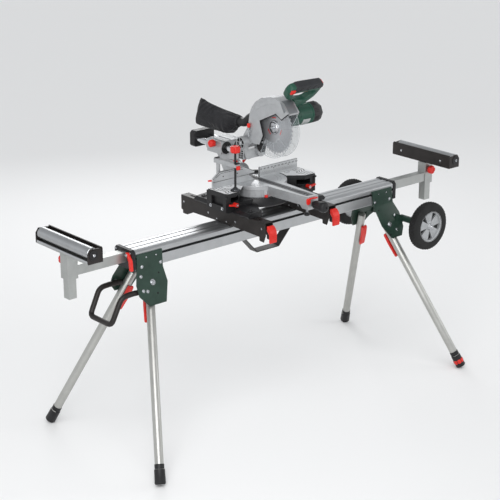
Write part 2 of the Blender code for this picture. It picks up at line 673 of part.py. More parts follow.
def make_head_bracket():
    cheek = circle(CHOP_Y, CHOP_Z, 0.0265, 22, radians(-8), radians(188))
    cheek += [(0.0165, 0.200), (0.0570, 0.200)]
    shapes = [box(-0.056, 0.056, 0.024, 0.056, 0.174, 0.212)]
    shapes += [prism("X", cheek, *sorted((s * 0.0364, s * 0.0560))) for s in (-1, 1)]
    shapes.append(cylinder("X", CHOP_Y, CHOP_Z, 0.0080, -0.050, 0.050, 16))
    shapes += [cylinder("Y", s * RAIL_X, RAIL_Z, 0.0200, 0.014, 0.0565, 24) for s in (-1, 1)]
    part("head_bracket", "cast_silver", SAW, shapes,
         [cylinder("Y", s * RAIL_X, RAIL_Z, RAIL_RADIUS + 0.0004, 0.0300, 0.1, 24) for s in (-1, 1)],
         "carriage_slide")


def make_head_casting():
    empty("chop_axis", (0, CHOP_Y, CHOP_Z), SAW)
    outline = [(0.007, 0.364), (-0.024, 0.416), (-0.100, 0.455), (-0.145, 0.4575), (-0.184, 0.441),
               (-0.216, 0.405), (-0.150, 0.300), (-0.095, 0.292), (-0.060, 0.262), (-0.044, 0.248),
               (-0.006, 0.246), (0.006, 0.300)]
    guard = prism("X", outline, -0.0310, 0.0310)
    arm = prism("X", [(0.004, 0.322), (-0.012, 0.320), (-0.006, 0.250), (0.022, 0.230), (0.052, 0.238),
                      (0.060, 0.262), (0.034, 0.300)], -0.0300, 0.0300)
    hub = cylinder("X", CHOP_Y, CHOP_Z, 0.0245, -0.0360, 0.0360, 24)
    window = [(-0.240, 0.340), (-0.216, 0.4055), (-0.177, 0.377), (-0.144, 0.395), (-0.046, 0.349),
              (-0.066, 0.290), (-0.046, 0.247), (-0.120, 0.200)]
    cuts = [cylinder("X", BLADE_Y, BLADE_Z, 0.1262, -0.0275, 0.0275, 48),
            prism("X", window, -0.05, -0.02),
            cylinder("X", BLADE_Y, BLADE_Z, 0.0125, 0.0, 0.05, 20),
            cylinder("X", CHOP_Y, CHOP_Z, 0.0085, -0.1, 0.1, 16)]
    part("head_casting", "cast_silver", SAW, [guard, arm, hub], cuts, "chop_axis")


def make_motor():
    housing = cylinder("X", -0.115, 0.362, 0.0420, 0.0316, 0.1700, 32)
    gear = cylinder("X", BLADE_Y, BLADE_Z, 0.0240, 0.0316, 0.0640, 24)
    part("motor_housing", "green_plastic", SAW, [housing, gear],
         [cylinder("X", BLADE_Y, BLADE_Z, 0.0086, 0.0, 0.0560, 16)], "chop_axis")
    profile = [(0, 0.1704), (0.0430, 0.1704), (0.0430, 0.2050), (0.0360, 0.2230), (0, 0.2230)]
    part("motor_cap", "black_plastic", SAW, [lathe("X", -0.115, 0.362, profile, 16)], joint="chop_axis")


def make_handle():
    outer = [(0.034, 0.004), (0.088, 0.004), (0.136, 0.064), (0.144, 0.112), (0.136, 0.142), (0.010, 0.148),
             (-0.030, 0.142), (-0.038, 0.122), (-0.028, 0.074), (0.030, 0.066)]
    inner = [(0.046, 0.052), (0.084, 0.050), (0.110, 0.074), (0.116, 0.105), (-0.004, 0.107), (-0.006, 0.092)]
    pocket = [(0.018, 0.100), (0.092, 0.100), (0.092, 0.1185), (0.018, 0.1185)]
    thumb = [(-0.034, 0.112), (-0.008, 0.112), (-0.008, 0.136), (-0.034, 0.136)]
    part("handle_frame", "green_plastic", SAW, [slab(outer, -0.016, 0.016)],
         [slab(inner, -0.03, 0.03), slab(pocket, -0.0085, 0.0085), slab(thumb, 0.0105, 0.03)],
         "chop_axis")


def make_handle_buttons():
    empty("lock_off_slide", (-0.021, -0.22, 0.51), SAW)
    thumb = [(-0.0315, 0.1145), (-0.0105, 0.1145), (-0.0105, 0.1335), (-0.0315, 0.1335)]
    part("lock_off_button", "red_plastic", SAW, [slab(thumb, 0.0125, 0.0210)], joint="lock_off_slide")
    empty("trigger_slide", (0.055, -0.20, 0.49), SAW)
    outline = [(0.0185, 0.1010), (0.030, 0.0960), (0.080, 0.0960), (0.0915, 0.1010), (0.0915, 0.1120),
               (0.0185, 0.1120)]
    part("trigger", "red_plastic", SAW, [slab(outline, -0.0080, 0.0080)], joint="trigger_slide")


def make_blade():
    empty("blade_arbor", (0, BLADE_Y, BLADE_Z), SAW)
    teeth, count = [], 30
    for i in range(count):
        a = 2 * pi * i / count
        for da, radius in ((0.0, BLADE_RADIUS), (0.045, BLADE_RADIUS - 0.003), (0.075, BLADE_RADIUS - 0.009),
                           (0.14, BLADE_RADIUS - 0.006)):
            teeth.append((BLADE_Y + radius * cos(a - da), BLADE_Z + radius * sin(a - da)))
    disc = prism("X", teeth, -0.0011, 0.0011)
    profile = [(0, -0.0170), (0.0075, -0.0170), (0.0075, -0.0105), (0.0200, -0.0105),
               (0.0280, -0.0060), (0.0280, 0.0060), (0.0080, 0.0060), (0.0080, 0.0540), (0, 0.0540)]
    arbor = lathe("X", BLADE_Y, BLADE_Z, profile, 24)
    part("saw_blade", "steel", SAW, [disc, arbor], joint="blade_arbor")


def sector(inner, outer, start, end, steps):
    a = circle(BLADE_Y, BLADE_Z, outer, steps, start, end)
    b = circle(BLADE_Y, BLADE_Z, inner, steps, start, end)
    return a + b[::-1]


def make_lower_guard():
    start, end = radians(142), radians(300)
    rim = prism("X", sector(0.1185, 0.1225, start, end, 22), -0.0240, 0.0240)
    inset = radians(1)
    left = prism("X", sector(0.0580, 0.1200, start + inset, end - inset, 20), -0.0237, -0.0213)
    right = prism("X", sector(0.0360, 0.1200, start + inset, end - inset, 20), 0.0213, 0.0237)
    ring = lathe("X", BLADE_Y, BLADE_Z,
                 [(0.0270, 0.0216), (0.0400, 0.0216), (0.0400, 0.0234), (0.0270, 0.0234)], 28)
    empty("lower_guard_axis", (0, BLADE_Y, BLADE_Z), SAW)
    part("lower_guard", "clear_plastic", SAW, [rim, left, right, ring], joint="lower_guard_axis")


def make_dust_port():
    path = bent([(0.0, 0.0115, 0.345), (0.0, 0.040, 0.345), (0.0, 0.075, 0.313),
                 (0.0, 0.112, 0.311)], 0.014, 3)
    part("dust_port", "black_plastic", SAW, [tube(path, 0.0185, 16)], joint="chop_axis")


def make_dust_bag():
    rows = [(0.1140, 0.022, 0.022, 0.310), (0.128, 0.028, 0.030, 0.306), (0.165, 0.037, 0.042, 0.298),
            (0.230, 0.043, 0.049, 0.298), (0.300, 0.045, 0.054, 0.302), (0.352, 0.043, 0.056, 0.304),
            (0.372, 0.034, 0.050, 0.304)]
    sections = []
    for y, half, tall, mid in rows:
        ring = []
        for i in range(20):
            a = 2 * pi * i / 20
            c, s = cos(a), sin(a)
            c = abs(c) ** 0.6 * (1 if c > 0 else -1)
            s = abs(s) ** 0.6 * (1 if s > 0 else -1)
            ring.append(Vector((half * c, y, mid + tall * s)))
        sections.append(ring)
    part("dust_bag", "cloth", SAW, [loft(sections)], joint="chop_axis")


def make_clamp():
    x = CLAMP_X
    empty("clamp_swing", (x, 0.030, 0.14), SAW)
    post = cylinder("Z", x, 0.030, 0.0080, 0.0706, 0.2030, 20)
    arm = prism("X", [(0.044, 0.186), (0.044, 0.204), (-0.070, 0.206), (-0.092, 0.202), (-0.092, 0.190)],
                x - 0.012, x + 0.012)
    part("clamp_bracket", "cast_silver", SAW, [arm, post], [cylinder("Z", x, -0.077, 0.0056, 0.1, 0.3, 16)],
         "clamp_swing")
    empty("clamp_screw_slide", (x, -0.077, 0.2), SAW)
    lobes = star(x, -0.077, 0.0180, 0.0022, 6)
    spindle = lathe("Z", x, -0.077, [(0, 0.0910), (0.0190, 0.0910), (0.0200, 0.0930), (0.0190, 0.0965),
                                     (0.0080, 0.1010), (0.0050, 0.1060), (0.0050, 0.2600), (0, 0.2600)], 24)
    part("clamp_screw", "red_plastic", SAW, [prism("Z", lobes, 0.2500, 0.2760), spindle],
         joint="clamp_screw_slide")


def make_stand():
    make_beam()
    make_rest_foot()
    make_carry_handle()
    for side in (-1, 1):
        make_beam_cap(side)
        make_extension_lever(side)
        make_extension_tube(side)
        make_height_knob(side)
        make_roller_stand(side)
        make_roller(side)
        make_leg_bracket(side)
        for end in (-1, 1):
            make_leg(side, end)
            make_leg_latch(side, end)
    for index in (0, 1):
        make_cross_arm(index)
        make_arm_lever(index)
    for end in (-1, 1):
        make_wheel(end)


def make_saw():
    make_saw_base()
    make_turntable()
    make_table_insert()
    make_fence()
    make_sliding_fence()
    for side in (-1, 1):
        make_side_table(side)
        make_side_table_lever(side)
    make_mitre_handle()
    make_mitre_latch()
    make_bevel_arm()
    make_slide_knob()
    make_rails()
    make_rail_cap()
    make_head_bracket()
    make_head_casting()
    make_motor()
    make_handle()
    make_handle_buttons()
    make_blade()
    make_lower_guard()
    make_dust_port()
    make_dust_bag()
    make_clamp()


clear_scene()
empty(STAND, ORIGIN)
empty(SAW, SAW_AT, STAND)
make_stand()
make_saw()
bpy.context.view_layer.update()
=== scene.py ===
"""The looks of the mitre saw on its folding roller stand. Metres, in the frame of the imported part."""

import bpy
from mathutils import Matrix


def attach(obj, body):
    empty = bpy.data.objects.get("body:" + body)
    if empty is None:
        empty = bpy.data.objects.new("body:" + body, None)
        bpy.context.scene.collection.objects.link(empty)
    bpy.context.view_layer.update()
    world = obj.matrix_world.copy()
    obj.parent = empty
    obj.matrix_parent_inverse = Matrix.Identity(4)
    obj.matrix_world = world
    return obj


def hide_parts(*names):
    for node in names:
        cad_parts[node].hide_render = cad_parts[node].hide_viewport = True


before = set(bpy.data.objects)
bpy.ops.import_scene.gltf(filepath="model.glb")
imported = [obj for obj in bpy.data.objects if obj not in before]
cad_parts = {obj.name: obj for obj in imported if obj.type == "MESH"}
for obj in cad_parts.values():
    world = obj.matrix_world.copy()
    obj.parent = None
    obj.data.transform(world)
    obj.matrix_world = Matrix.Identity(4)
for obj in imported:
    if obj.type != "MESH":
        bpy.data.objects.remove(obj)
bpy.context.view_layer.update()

from math import atan2, cos, pi, radians, sin, sqrt

import bmesh
import bpy
from mathutils import Matrix, Vector, noise

# Where part.py puts its two frames
STAND = Vector((0.0, 0.008, -0.0003))
SAW = STAND + Vector((-0.041, 0.0, 0.8954))
UP = Vector((0.0, 0.0, 1.0))

# Sizes shared by several pieces, in the stand's or the saw's own frame
WHEEL = Vector((0.749, 0.24, 0.67))
WHEEL_RADIUS = 0.108
LEG_RADIUS = 0.0175
FOOT_CUT = LEG_RADIUS * 0.62  # how far above the leg's axis end its flat sole is
PLATE_LEAN = radians(25)
PIVOT_X, FOOT_X = 0.655, 0.866
BEND_Y, BEND_Z = 0.0575, 0.745  # where the bracket's plates begin to lean
PLATE_HALF = 0.0022
PIVOT_DROP = {-1: 0.05, 1: 0.092}
ARM_X = (-0.214, 0.132)
KNOB_Z = 0.84
ROLLER_X, ROLLER_Z, SLEEVE_X = 0.992, 0.915, 0.985
BLADE_Y, BLADE_Z, BLADE_RADIUS = -0.105, 0.327, 0.108
CHOP_Y, CHOP_Z = 0.04, 0.243
MOTOR_Y, MOTOR_Z = -0.115, 0.362
RAIL_X, RAIL_Z = 0.034, 0.195
TABLE_Z = 0.09
CLAMP_X, SPINDLE_Y = -0.186, -0.077
GRIP_AT = Vector((0.0, -0.14, 0.412))
GRIP_UP = Vector((0.0, -0.65, 0.76)).normalized()
GRIP_OUT = Vector((1.0, 0.0, 0.0)).cross(GRIP_UP)


# ---------------------------------------------------------------- materials

def material(name, colour, metallic=0.0, roughness=0.4, grain=500.0, bump=0.06, stretch=(1, 1, 1),
             mottle=0.08, spread=0.06, patches=22.0, rings=None, weave=None, **sockets):
    """A Principled finish with uneven colour and gloss, and a fine surface grain.

    stretch draws the grain out along an axis; rings = (point, axis, pitch) adds turning marks about
    a centre; weave = pitch adds crossing threads.
    """
    made = bpy.data.materials.new(name)
    made.use_nodes = True
    tree = made.node_tree
    shader = tree.nodes["Principled BSDF"]
    shader.inputs["Metallic"].default_value = metallic
    for key, value in sockets.items():
        shader.inputs[key.replace("_", " ")].default_value = value

    def node(kind, **settings):
        new = tree.nodes.new("ShaderNode" + kind)
        for key, value in settings.items():
            setattr(new, key, value)
        return new

    def link(a, b):
        tree.links.new(a, b)

    place = node("TexCoord").outputs["Object"]
    blotch = node("TexNoise")
    blotch.inputs["Scale"].default_value = patches
    blotch.inputs["Detail"].default_value = 5.0
    blotch.inputs["Roughness"].default_value = 0.62
    link(place, blotch.inputs["Vector"])
    fine_map = node("Mapping")
    fine_map.inputs["Scale"].default_value = stretch
    fine = node("TexNoise")
    fine.inputs["Scale"].default_value = grain
    fine.inputs["Detail"].default_value = 3.0
    link(place, fine_map.inputs["Vector"])
    link(fine_map.outputs["Vector"], fine.inputs["Vector"])

    level = node("MapRange")
    level.inputs["From Min"].default_value = 0.32
    level.inputs["From Max"].default_value = 0.68
    link(blotch.outputs["Fac"], level.inputs["Value"])
    tint = node("Mix", data_type="RGBA")
    tint.inputs["A"].default_value = (*[c * (1 - mottle) for c in colour], 1.0)
    tint.inputs["B"].default_value = (*[min(1.0, c * (1 + mottle) + 0.003) for c in colour], 1.0)
    link(level.outputs["Result"], tint.inputs["Factor"])
    link(tint.outputs["Result"], shader.inputs["Base Color"])

    gloss = node("MapRange")
    gloss.inputs["To Min"].default_value = max(0.02, roughness - spread)
    gloss.inputs["To Max"].default_value = roughness + spread
    mixed = node("Math", operation="MULTIPLY_ADD")
    mixed.inputs[1].default_value = 0.5
    link(blotch.outputs["Fac"], mixed.inputs[0])
    halved = node("Math", operation="MULTIPLY")
    halved.inputs[1].default_value = 0.5
    link(fine.outputs["Fac"], halved.inputs[0])
    link(halved.outputs["Value"], mixed.inputs[2])
    link(mixed.outputs["Value"], gloss.inputs["Value"])
    gloss.inputs["From Min"].default_value = 0.35
    gloss.inputs["From Max"].default_value = 0.65
    link(gloss.outputs["Result"], shader.inputs["Roughness"])

    height = fine.outputs["Fac"]
    if rings:
        centre, axis, pitch = rings
        shift = node("Mapping")
        shift.inputs["Location"].default_value = [-c for c in centre]
        wave = node("TexWave", wave_type="RINGS", rings_direction=axis)
        wave.inputs["Scale"].default_value = 0.314 / pitch
        wave.inputs["Distortion"].default_value = 0.4
        link(place, shift.inputs["Vector"])
        link(shift.outputs["Vector"], wave.inputs["Vector"])
        height = wave.outputs["Fac"]
    if weave:
        total = None
        for direction in ("X", "Y", "Z"):
            wave = node("TexWave", wave_type="BANDS", bands_direction=direction)
            wave.inputs["Scale"].default_value = 0.314 / weave
            wave.inputs["Distortion"].default_value = 1.2
            wave.inputs["Detail Scale"].default_value = 3.0
            link(place, wave.inputs["Vector"])
            if total is None:
                total = wave.outputs["Fac"]
                continue
            both = node("Math", operation="ADD")
            link(total, both.inputs[0])
            link(wave.outputs["Fac"], both.inputs[1])
            total = both.outputs["Value"]
        height = total
    relief = node("Bump")
    relief.inputs["Strength"].default_value = bump
    relief.inputs["Distance"].default_value = 0.0006
    link(height, relief.inputs["Height"])
    link(relief.outputs["Normal"], shader.inputs["Normal"])
    return made


DISC_CENTRE = SAW + Vector((0, 0, TABLE_Z))
BLADE_CENTRE = SAW + Vector((0, BLADE_Y, BLADE_Z))
FINISH = {
    "extruded": material("extruded_aluminium", (0.46, 0.47, 0.48), 0.9, 0.34, 500, 0.05, (0.02, 1, 1), 0.05),
    "tube": material("drawn_aluminium", (0.42, 0.43, 0.42), 0.85, 0.38, 400, 0.05, (0.05, 1, 1), 0.06),
    "leg": material("leg_aluminium", (0.44, 0.44, 0.42), 0.8, 0.38, 500, 0.05, (1, 1, 0.05), 0.06),
    "cast": material("cast_silver", (0.42, 0.43, 0.44), 0.5, 0.4, 900, 0.1, mottle=0.07, patches=40),
    "machined": material("machined_table", (0.5, 0.51, 0.52), 0.88, 0.33, 700, 0.02, mottle=0.06,
                         rings=(DISC_CENTRE, "Z", 0.0016)),
    "table_top": material("machined_side_table", (0.76, 0.77, 0.78), 0.12, 0.44, 700, 0.03, (0.05, 1, 1),
                          0.05),
    "fence": material("fence_aluminium", (0.54, 0.55, 0.56), 0.75, 0.34, 600, 0.03, (0.03, 1, 1), 0.05),
    "steel": material("bright_steel", (0.5, 0.51, 0.53), 1.0, 0.24, 700, 0.02, mottle=0.06),
    "roller": material("brushed_roller", (0.42, 0.43, 0.44), 1.0, 0.34, 500, 0.03, (1, 0.03, 1), 0.06),
    "blade": material("ground_blade", (0.44, 0.45, 0.47), 0.6, 0.4, 600, 0.012, mottle=0.08, patches=9,
                      rings=(BLADE_CENTRE, "X", 0.0024)),
    "chrome": material("polished_rail", (0.6, 0.61, 0.63), 1.0, 0.12, 600, 0.01, mottle=0.03, spread=0.03),
    "black_paint": material("black_powder_coat", (0.014, 0.011, 0.01), 0.0, 0.42, 1100, 0.16, mottle=0.25,
                            Specular_IOR_Level=0.35),
    "black_plastic": material("black_moulding", (0.009, 0.009, 0.01), 0.0, 0.46, 1300, 0.14, mottle=0.25,
                              Specular_IOR_Level=0.35),
    "charcoal": material("soft_grip", (0.02, 0.021, 0.024), 0.0, 0.6, 1700, 0.3, mottle=0.2,
                         Specular_IOR_Level=0.35),
    "base_black": material("base_casting", (0.008, 0.008, 0.009), 0.0, 0.42, 800, 0.2, mottle=0.25,
                           Specular_IOR_Level=0.35),
    "green_paint": material("dark_green_paint", (0.012, 0.034, 0.023), 0.0, 0.38, 1000, 0.12, mottle=0.15,
                            Specular_IOR_Level=0.4),
    "green": material("green_moulding", (0.008, 0.062, 0.038), 0.0, 0.4, 1500, 0.12, mottle=0.12,
                      Specular_IOR_Level=0.4),
    "red": material("red_moulding", (0.62, 0.018, 0.011), 0.0, 0.36, 1300, 0.08, mottle=0.1,
                    Specular_IOR_Level=0.4),
    "rubber": material("tyre_rubber", (0.01, 0.01, 0.01), 0.0, 0.7, 900, 0.25, mottle=0.3,
                       Specular_IOR_Level=0.3),
    "insert": material("grey_insert", (0.05, 0.052, 0.056), 0.0, 0.48, 900, 0.12, (1, 0.05, 1), 0.12),
    "ink": material("black_marking", (0.006, 0.006, 0.007), 0.0, 0.55, 900, 0.05, mottle=0.15,
                    Specular_IOR_Level=0.25),
    "grey_band": material("grey_band", (0.19, 0.2, 0.21), 0.4, 0.42, 800, 0.08, mottle=0.08),
    "label": material("blank_label", (0.42, 0.43, 0.43), 0.3, 0.38, 600, 0.03, mottle=0.05),
    "clear": material("clear_guard", (0.3, 0.33, 0.35), 0.0, 0.05, 200, 0.02, mottle=0.03, spread=0.02,
                      Alpha=0.1, IOR=1.49),
    # Lighter and less clear than the guard: painted highlight on its real edges and ribs.
    "clear_edge_painted_highlight": material("guard_edge_painted_highlight", (0.55, 0.58, 0.6), 0.0, 0.1, 200, 0.02, mottle=0.03, spread=0.02,
                           Alpha=0.45, IOR=1.49),
    "cloth": material("black_cloth", (0.011, 0.011, 0.013), 0.0, 0.88, 1200, 0.3, mottle=0.3,
                      weave=0.0011, Sheen_Weight=0.12, Sheen_Roughness=0.5, Specular_IOR_Level=0.25),
}


# ---------------------------------------------------------------- shapes

def turned(axis, u, v, h):
    """The point with section coordinates u, v and height h along the named axis."""
    if axis == "X":
        return Vector((h, u, v))
    if axis == "Y":
        return Vector((u, h, v))
    return Vector((u, v, h))


def arc(cu, cv, radius, start=0.0, end=360.0, steps=48):
    """Points of an arc, in degrees; a full turn leaves out its last point."""
    count = steps if abs(end - start - 360) < 1e-6 else steps + 1
    return [(cu + radius * cos(radians(start + (end - start) * i / steps)),
             cv + radius * sin(radians(start + (end - start) * i / steps))) for i in range(count)]


def rounded(outline, radius, steps=4):
    """A closed outline with its corners rounded."""
    found = []
    n = len(outline)
    for i in range(n):
        before, corner, after = (Vector(outline[k % n]) for k in (i - 1, i, i + 1))
        back, ahead = before - corner, after - corner
        reach = min(radius, back.length * 0.45, ahead.length * 0.45)
        a, b = corner + back.normalized() * reach, corner + ahead.normalized() * reach
        for k in range(steps + 1):
            t = k / steps
            found.append(tuple(a * (1 - t) ** 2 + corner * (2 * t * (1 - t)) + b * t * t))
    return found


def smooth_path(path, steps=6):
    """A curve through the given points."""
    path = [Vector(p) for p in path]
    padded = [path[0] * 2 - path[1]] + path + [path[-1] * 2 - path[-2]]
    found = []
    for a, b, c, d in zip(padded, padded[1:], padded[2:], padded[3:]):
        for k in range(steps):
            t = k / steps
            found.append(0.5 * (2 * b + (c - a) * t + (2 * a - 5 * b + 4 * c - d) * t * t
                                + (3 * b - a - 3 * c + d) * t ** 3))
    return found + [path[-1]]


# The faces of a block whose corners are listed round its bottom, then round its top
BLOCK_FACES = [(0, 1, 2, 3), (4, 5, 6, 7), (0, 1, 5, 4), (1, 2, 6, 5), (2, 3, 7, 6), (3, 0, 4, 7)]


class Shape:
    """A mesh under construction; every addition may name its own finish."""

    def __init__(self, at=Vector()):
        self.mesh = bmesh.new()
        self.kinds = []
        self.at = Matrix.Translation(at)

    def kind(self, name):
        if name not in self.kinds:
            self.kinds.append(name)
        return self.kinds.index(name)

    def add(self, points, faces, kind):
        index = self.kind(kind)
        corners = [self.mesh.verts.new(self.at @ Vector(p)) for p in points]
        made = [self.mesh.faces.new([corners[i] for i in face]) for face in faces]
        for face in made:
            face.material_index = index
            face.smooth = True
        bmesh.ops.recalc_face_normals(self.mesh, faces=made)
        return self

    def prism(self, kind, axis, outline, low, high):
        n = len(outline)
        points = [turned(axis, u, v, h) for h in (low, high) for u, v in outline]
        faces = [tuple(range(n)), tuple(range(n, 2 * n))]
        faces += [(i, (i + 1) % n, n + (i + 1) % n, n + i) for i in range(n)]
        return self.add(points, faces, kind)

    def box(self, kind, x0, x1, y0, y1, z0, z1):
        return self.prism(kind, "Z", [(x0, y0), (x1, y0), (x1, y1), (x0, y1)], z0, z1)

    def band(self, kind, axis, outer, inner, low, high):
        """A plate between two outlines with equally many points."""
        n = len(outer)
        points = [turned(axis, u, v, h) for h in (low, high) for u, v in list(outer) + list(inner)]
        faces = []
        for i in range(n):
            j = (i + 1) % n
            faces += [(i, j, n + j, n + i), (2 * n + i, 2 * n + j, 3 * n + j, 3 * n + i),
                      (i, j, 2 * n + j, 2 * n + i), (n + i, n + j, 3 * n + j, 3 * n + i)]
        return self.add(points, faces, kind)

    def lathe(self, kind, axis, cu, cv, profile, steps=48, wobble=None):
        """A (radius, height) profile turned about an axis; wobble(angle) scales the radius."""
        points, rings = [], []
        for radius, height in profile:
            if radius < 1e-6:
                rings.append([len(points)] * steps)
                points.append(turned(axis, cu, cv, height))
                continue
            rings.append(list(range(len(points), len(points) + steps)))
            for i in range(steps):
                a = 2 * pi * i / steps
                r = radius * (wobble(a) if wobble else 1.0)
                points.append(turned(axis, cu + r * cos(a), cv + r * sin(a), height))
        closed = profile[0][0] > 1e-6 or profile[-1][0] > 1e-6
        faces = []
        pairs = list(zip(rings, rings[1:]))
        if closed:
            pairs.append((rings[-1], rings[0]))
        for low, high in pairs:
            for i in range(steps):
                j = (i + 1) % steps
                face = tuple(dict.fromkeys((low[i], low[j], high[j], high[i])))
                if len(face) > 2:
                    faces.append(face)
        return self.add(points, faces, kind)

    def pin(self, kind, axis, cu, cv, radius, low, high, steps):
        """A plain round bar or disc."""
        return self.lathe(kind, axis, cu, cv, [(0, low), (radius, low), (radius, high), (0, high)], steps)

    def ring(self, kind, axis, cu, cv, outer, inner, low, high, steps):
        """A flat round ring."""
        return self.band(kind, axis, arc(cu, cv, outer, steps=steps), arc(cu, cv, inner, steps=steps), low,
                         high)

    def tube(self, kind, path, radius, sides=14):
        path = [Vector(p) for p in path]
        side = UP
        if abs((path[1] - path[0]).normalized().dot(side)) > 0.9:
            side = Vector((0.0, 1.0, 0.0))
        points, faces = [], []
        count = len(path)
        for i, at in enumerate(path):
            ahead = (path[min(i + 1, count - 1)] - path[max(i - 1, 0)]).normalized()
            side = (side - ahead * side.dot(ahead)).normalized()
            other = ahead.cross(side)
            reach = radius[i] if isinstance(radius, (list, tuple)) else radius
            for k in range(sides):
                a = 2 * pi * k / sides
                points.append(at + (side * cos(a) + other * sin(a)) * reach)
        for row in range(count - 1):
            for k in range(sides):
                j = (k + 1) % sides
                low, high = row * sides, (row + 1) * sides
                faces.append((low + k, low + j, high + j, high + k))
        faces += [tuple(range(sides)), tuple(range((count - 1) * sides, count * sides))]
        return self.add(points, faces, kind)

    def loft(self, kind, sections):
        steps = len(sections[0])
        points = [p for ring in sections for p in ring]
        faces = [tuple(range(steps)), tuple(range(len(points) - steps, len(points)))]
        for row in range(len(sections) - 1):
            for i in range(steps):
                j = (i + 1) % steps
                a = row * steps
                faces.append((a + i, a + j, a + steps + j, a + steps + i))
        return self.add(points, faces, kind)

    def bolt(self, kind, at, out, radius, height, socket=True, washer=0.0):
        """A screw head standing on a surface at a point, facing out, with a hexagon socket."""
        at, out = Vector(at), Vector(out).normalized()
        side = out.orthogonal().normalized()
        other = out.cross(side)
        rings = []
        if washer:
            rings += [(washer, 0.0, 24), (washer, height * 0.25, 24)]
        rings += [(radius, height * 0.25 if washer else 0.0, 24), (radius, height * 0.8, 24),
                  (radius * 0.86, height, 24)]
        if socket:
            rings += [(radius * 0.5, height, 24), (radius * 0.46, height * 0.45, 24)]
        points, faces = [], []
        for r, h, n in rings:
            hexed = r < radius * 0.6
            for i in range(n):
                a = 2 * pi * i / n
                reach = r / max(cos((a % (pi / 3)) - pi / 6), 0.5) * 0.9 if hexed else r
                points.append(at + (side * cos(a) + other * sin(a)) * reach + out * h)
        for row in range(len(rings) - 1):
            for i in range(24):
                j = (i + 1) % 24
                faces.append((row * 24 + i, row * 24 + j, row * 24 + 24 + j, row * 24 + 24 + i))
        faces += [tuple(range(24)), tuple(range(len(points) - 24, len(points)))]
        return self.add(points, faces, kind)

    def knob(self, kind, axis, cu, cv, low, high, radius, lobes):
        """A lobed plastic knob with a dished top."""
        h = high - low
        profile = [(0, low), (radius * 0.8, low), (radius * 0.93, low + 0.08 * h), (radius, low + 0.25 * h),
                   (radius, low + 0.72 * h), (radius * 0.95, low + 0.88 * h), (radius * 0.84,
                                                                               low + 0.97 * h),
                   (radius * 0.6, high), (radius * 0.42, high), (radius * 0.36, high - 0.1 * h),
                   (0, high - 0.12 * h)]

        def wobble(angle):
            return 0.94 + 0.075 * (abs(cos(lobes * angle / 2)) ** 0.55 * 2 - 1)

        return self.lathe(kind, axis, cu, cv, profile, lobes * 12, wobble)

    def strip(self, kind, axis, path, width, low, high):
        """A line of even width, as printed or inlaid on a flat face."""
        left, right = [], []
        for i, (u, v) in enumerate(path):
            before, after = path[max(i - 1, 0)], path[min(i + 1, len(path) - 1)]
            ahead = Vector((after[0] - before[0], after[1] - before[1])).normalized()
            left.append((u - ahead.y * width / 2, v + ahead.x * width / 2))
            right.append((u + ahead.y * width / 2, v - ahead.x * width / 2))
        n = len(path)
        points = [turned(axis, u, v, h) for h in (low, high) for u, v in left + right]
        faces = [(0, n, 3 * n, 2 * n), (n - 1, 2 * n - 1, 4 * n - 1, 3 * n - 1)]
        for i in range(n - 1):
            j = i + 1
            faces += [(i, j, n + j, n + i), (2 * n + i, 2 * n + j, 3 * n + j, 3 * n + i),
                      (i, j, 2 * n + j, 2 * n + i), (n + i, n + j, 3 * n + j, 3 * n + i)]
        return self.add(points, faces, kind)

    def text(self, kind, words, size, place):
        """Plain figures, laid in the plane that the matrix gives."""
        curve = bpy.data.curves.new("figures", "FONT")
        curve.body = words
        curve.size = size
        curve.extrude = 0.0002
        curve.align_x = "CENTER"
        holder = bpy.data.objects.new("figures", curve)
        mesh = holder.to_mesh()
        points = [place @ v.co for v in mesh.vertices]
        faces = [tuple(p.vertices) for p in mesh.polygons]
        holder.to_mesh_clear()
        bpy.data.objects.remove(holder)
        bpy.data.curves.remove(curve)
        return self.add(points, faces, kind)

    def piece(self, name, body, bevel=0.0, replaces=(), angle=35):
        mesh = bpy.data.meshes.new(name)
        self.mesh.to_mesh(mesh)
        self.mesh.free()
        obj = bpy.data.objects.new(name, mesh)
        bpy.context.scene.collection.objects.link(obj)
        for kind in self.kinds:
            mesh.materials.append(FINISH[kind])
        mesh.set_sharp_from_angle(angle=radians(angle))
        if bevel:
            soften(obj, bevel, angle)
        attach(obj, body)
        if replaces:
            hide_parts(*replaces)
        return obj


def soften(obj, width, angle=35):
    """Small rounded edges that catch the light."""
    step = obj.modifiers.new("Bevel", "BEVEL")
    step.width = width
    step.segments = 2
    step.limit_method = "ANGLE"
    step.angle_limit = radians(angle)
    step.harden_normals = True
    step.use_clamp_overlap = True


def dress(node, *kinds, bevel=0.0006, angle=35, choose=None):
    """Finish a CAD node: its materials, chosen face by face where it has several, and soft edges."""
    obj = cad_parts[node]
    mesh = obj.data
    mesh.materials.clear()
    for kind in kinds:
        mesh.materials.append(FINISH[kind])
    for name in ("custom_normal", "sharp_face", "sharp_edge"):
        found = mesh.attributes.get(name)
        if found:
            mesh.attributes.remove(found)
    for face in mesh.polygons:
        face.use_smooth = True
        face.material_index = choose(face.center, face.normal) if choose else 0
    weld = obj.modifiers.new("Weld", "WELD")
    weld.merge_threshold = 0.00002
    flat = obj.modifiers.new("Planar", "DECIMATE")
    flat.decimate_type = "DISSOLVE"
    flat.angle_limit = radians(0.6)
    flat.delimit = {"MATERIAL"}
    soften(obj, bevel, angle)
    return obj


# ---------------------------------------------------------------- stand

def side_name(side):
    return "left" if side < 0 else "right"


def end_name(side):
    return "front" if side < 0 else "rear"


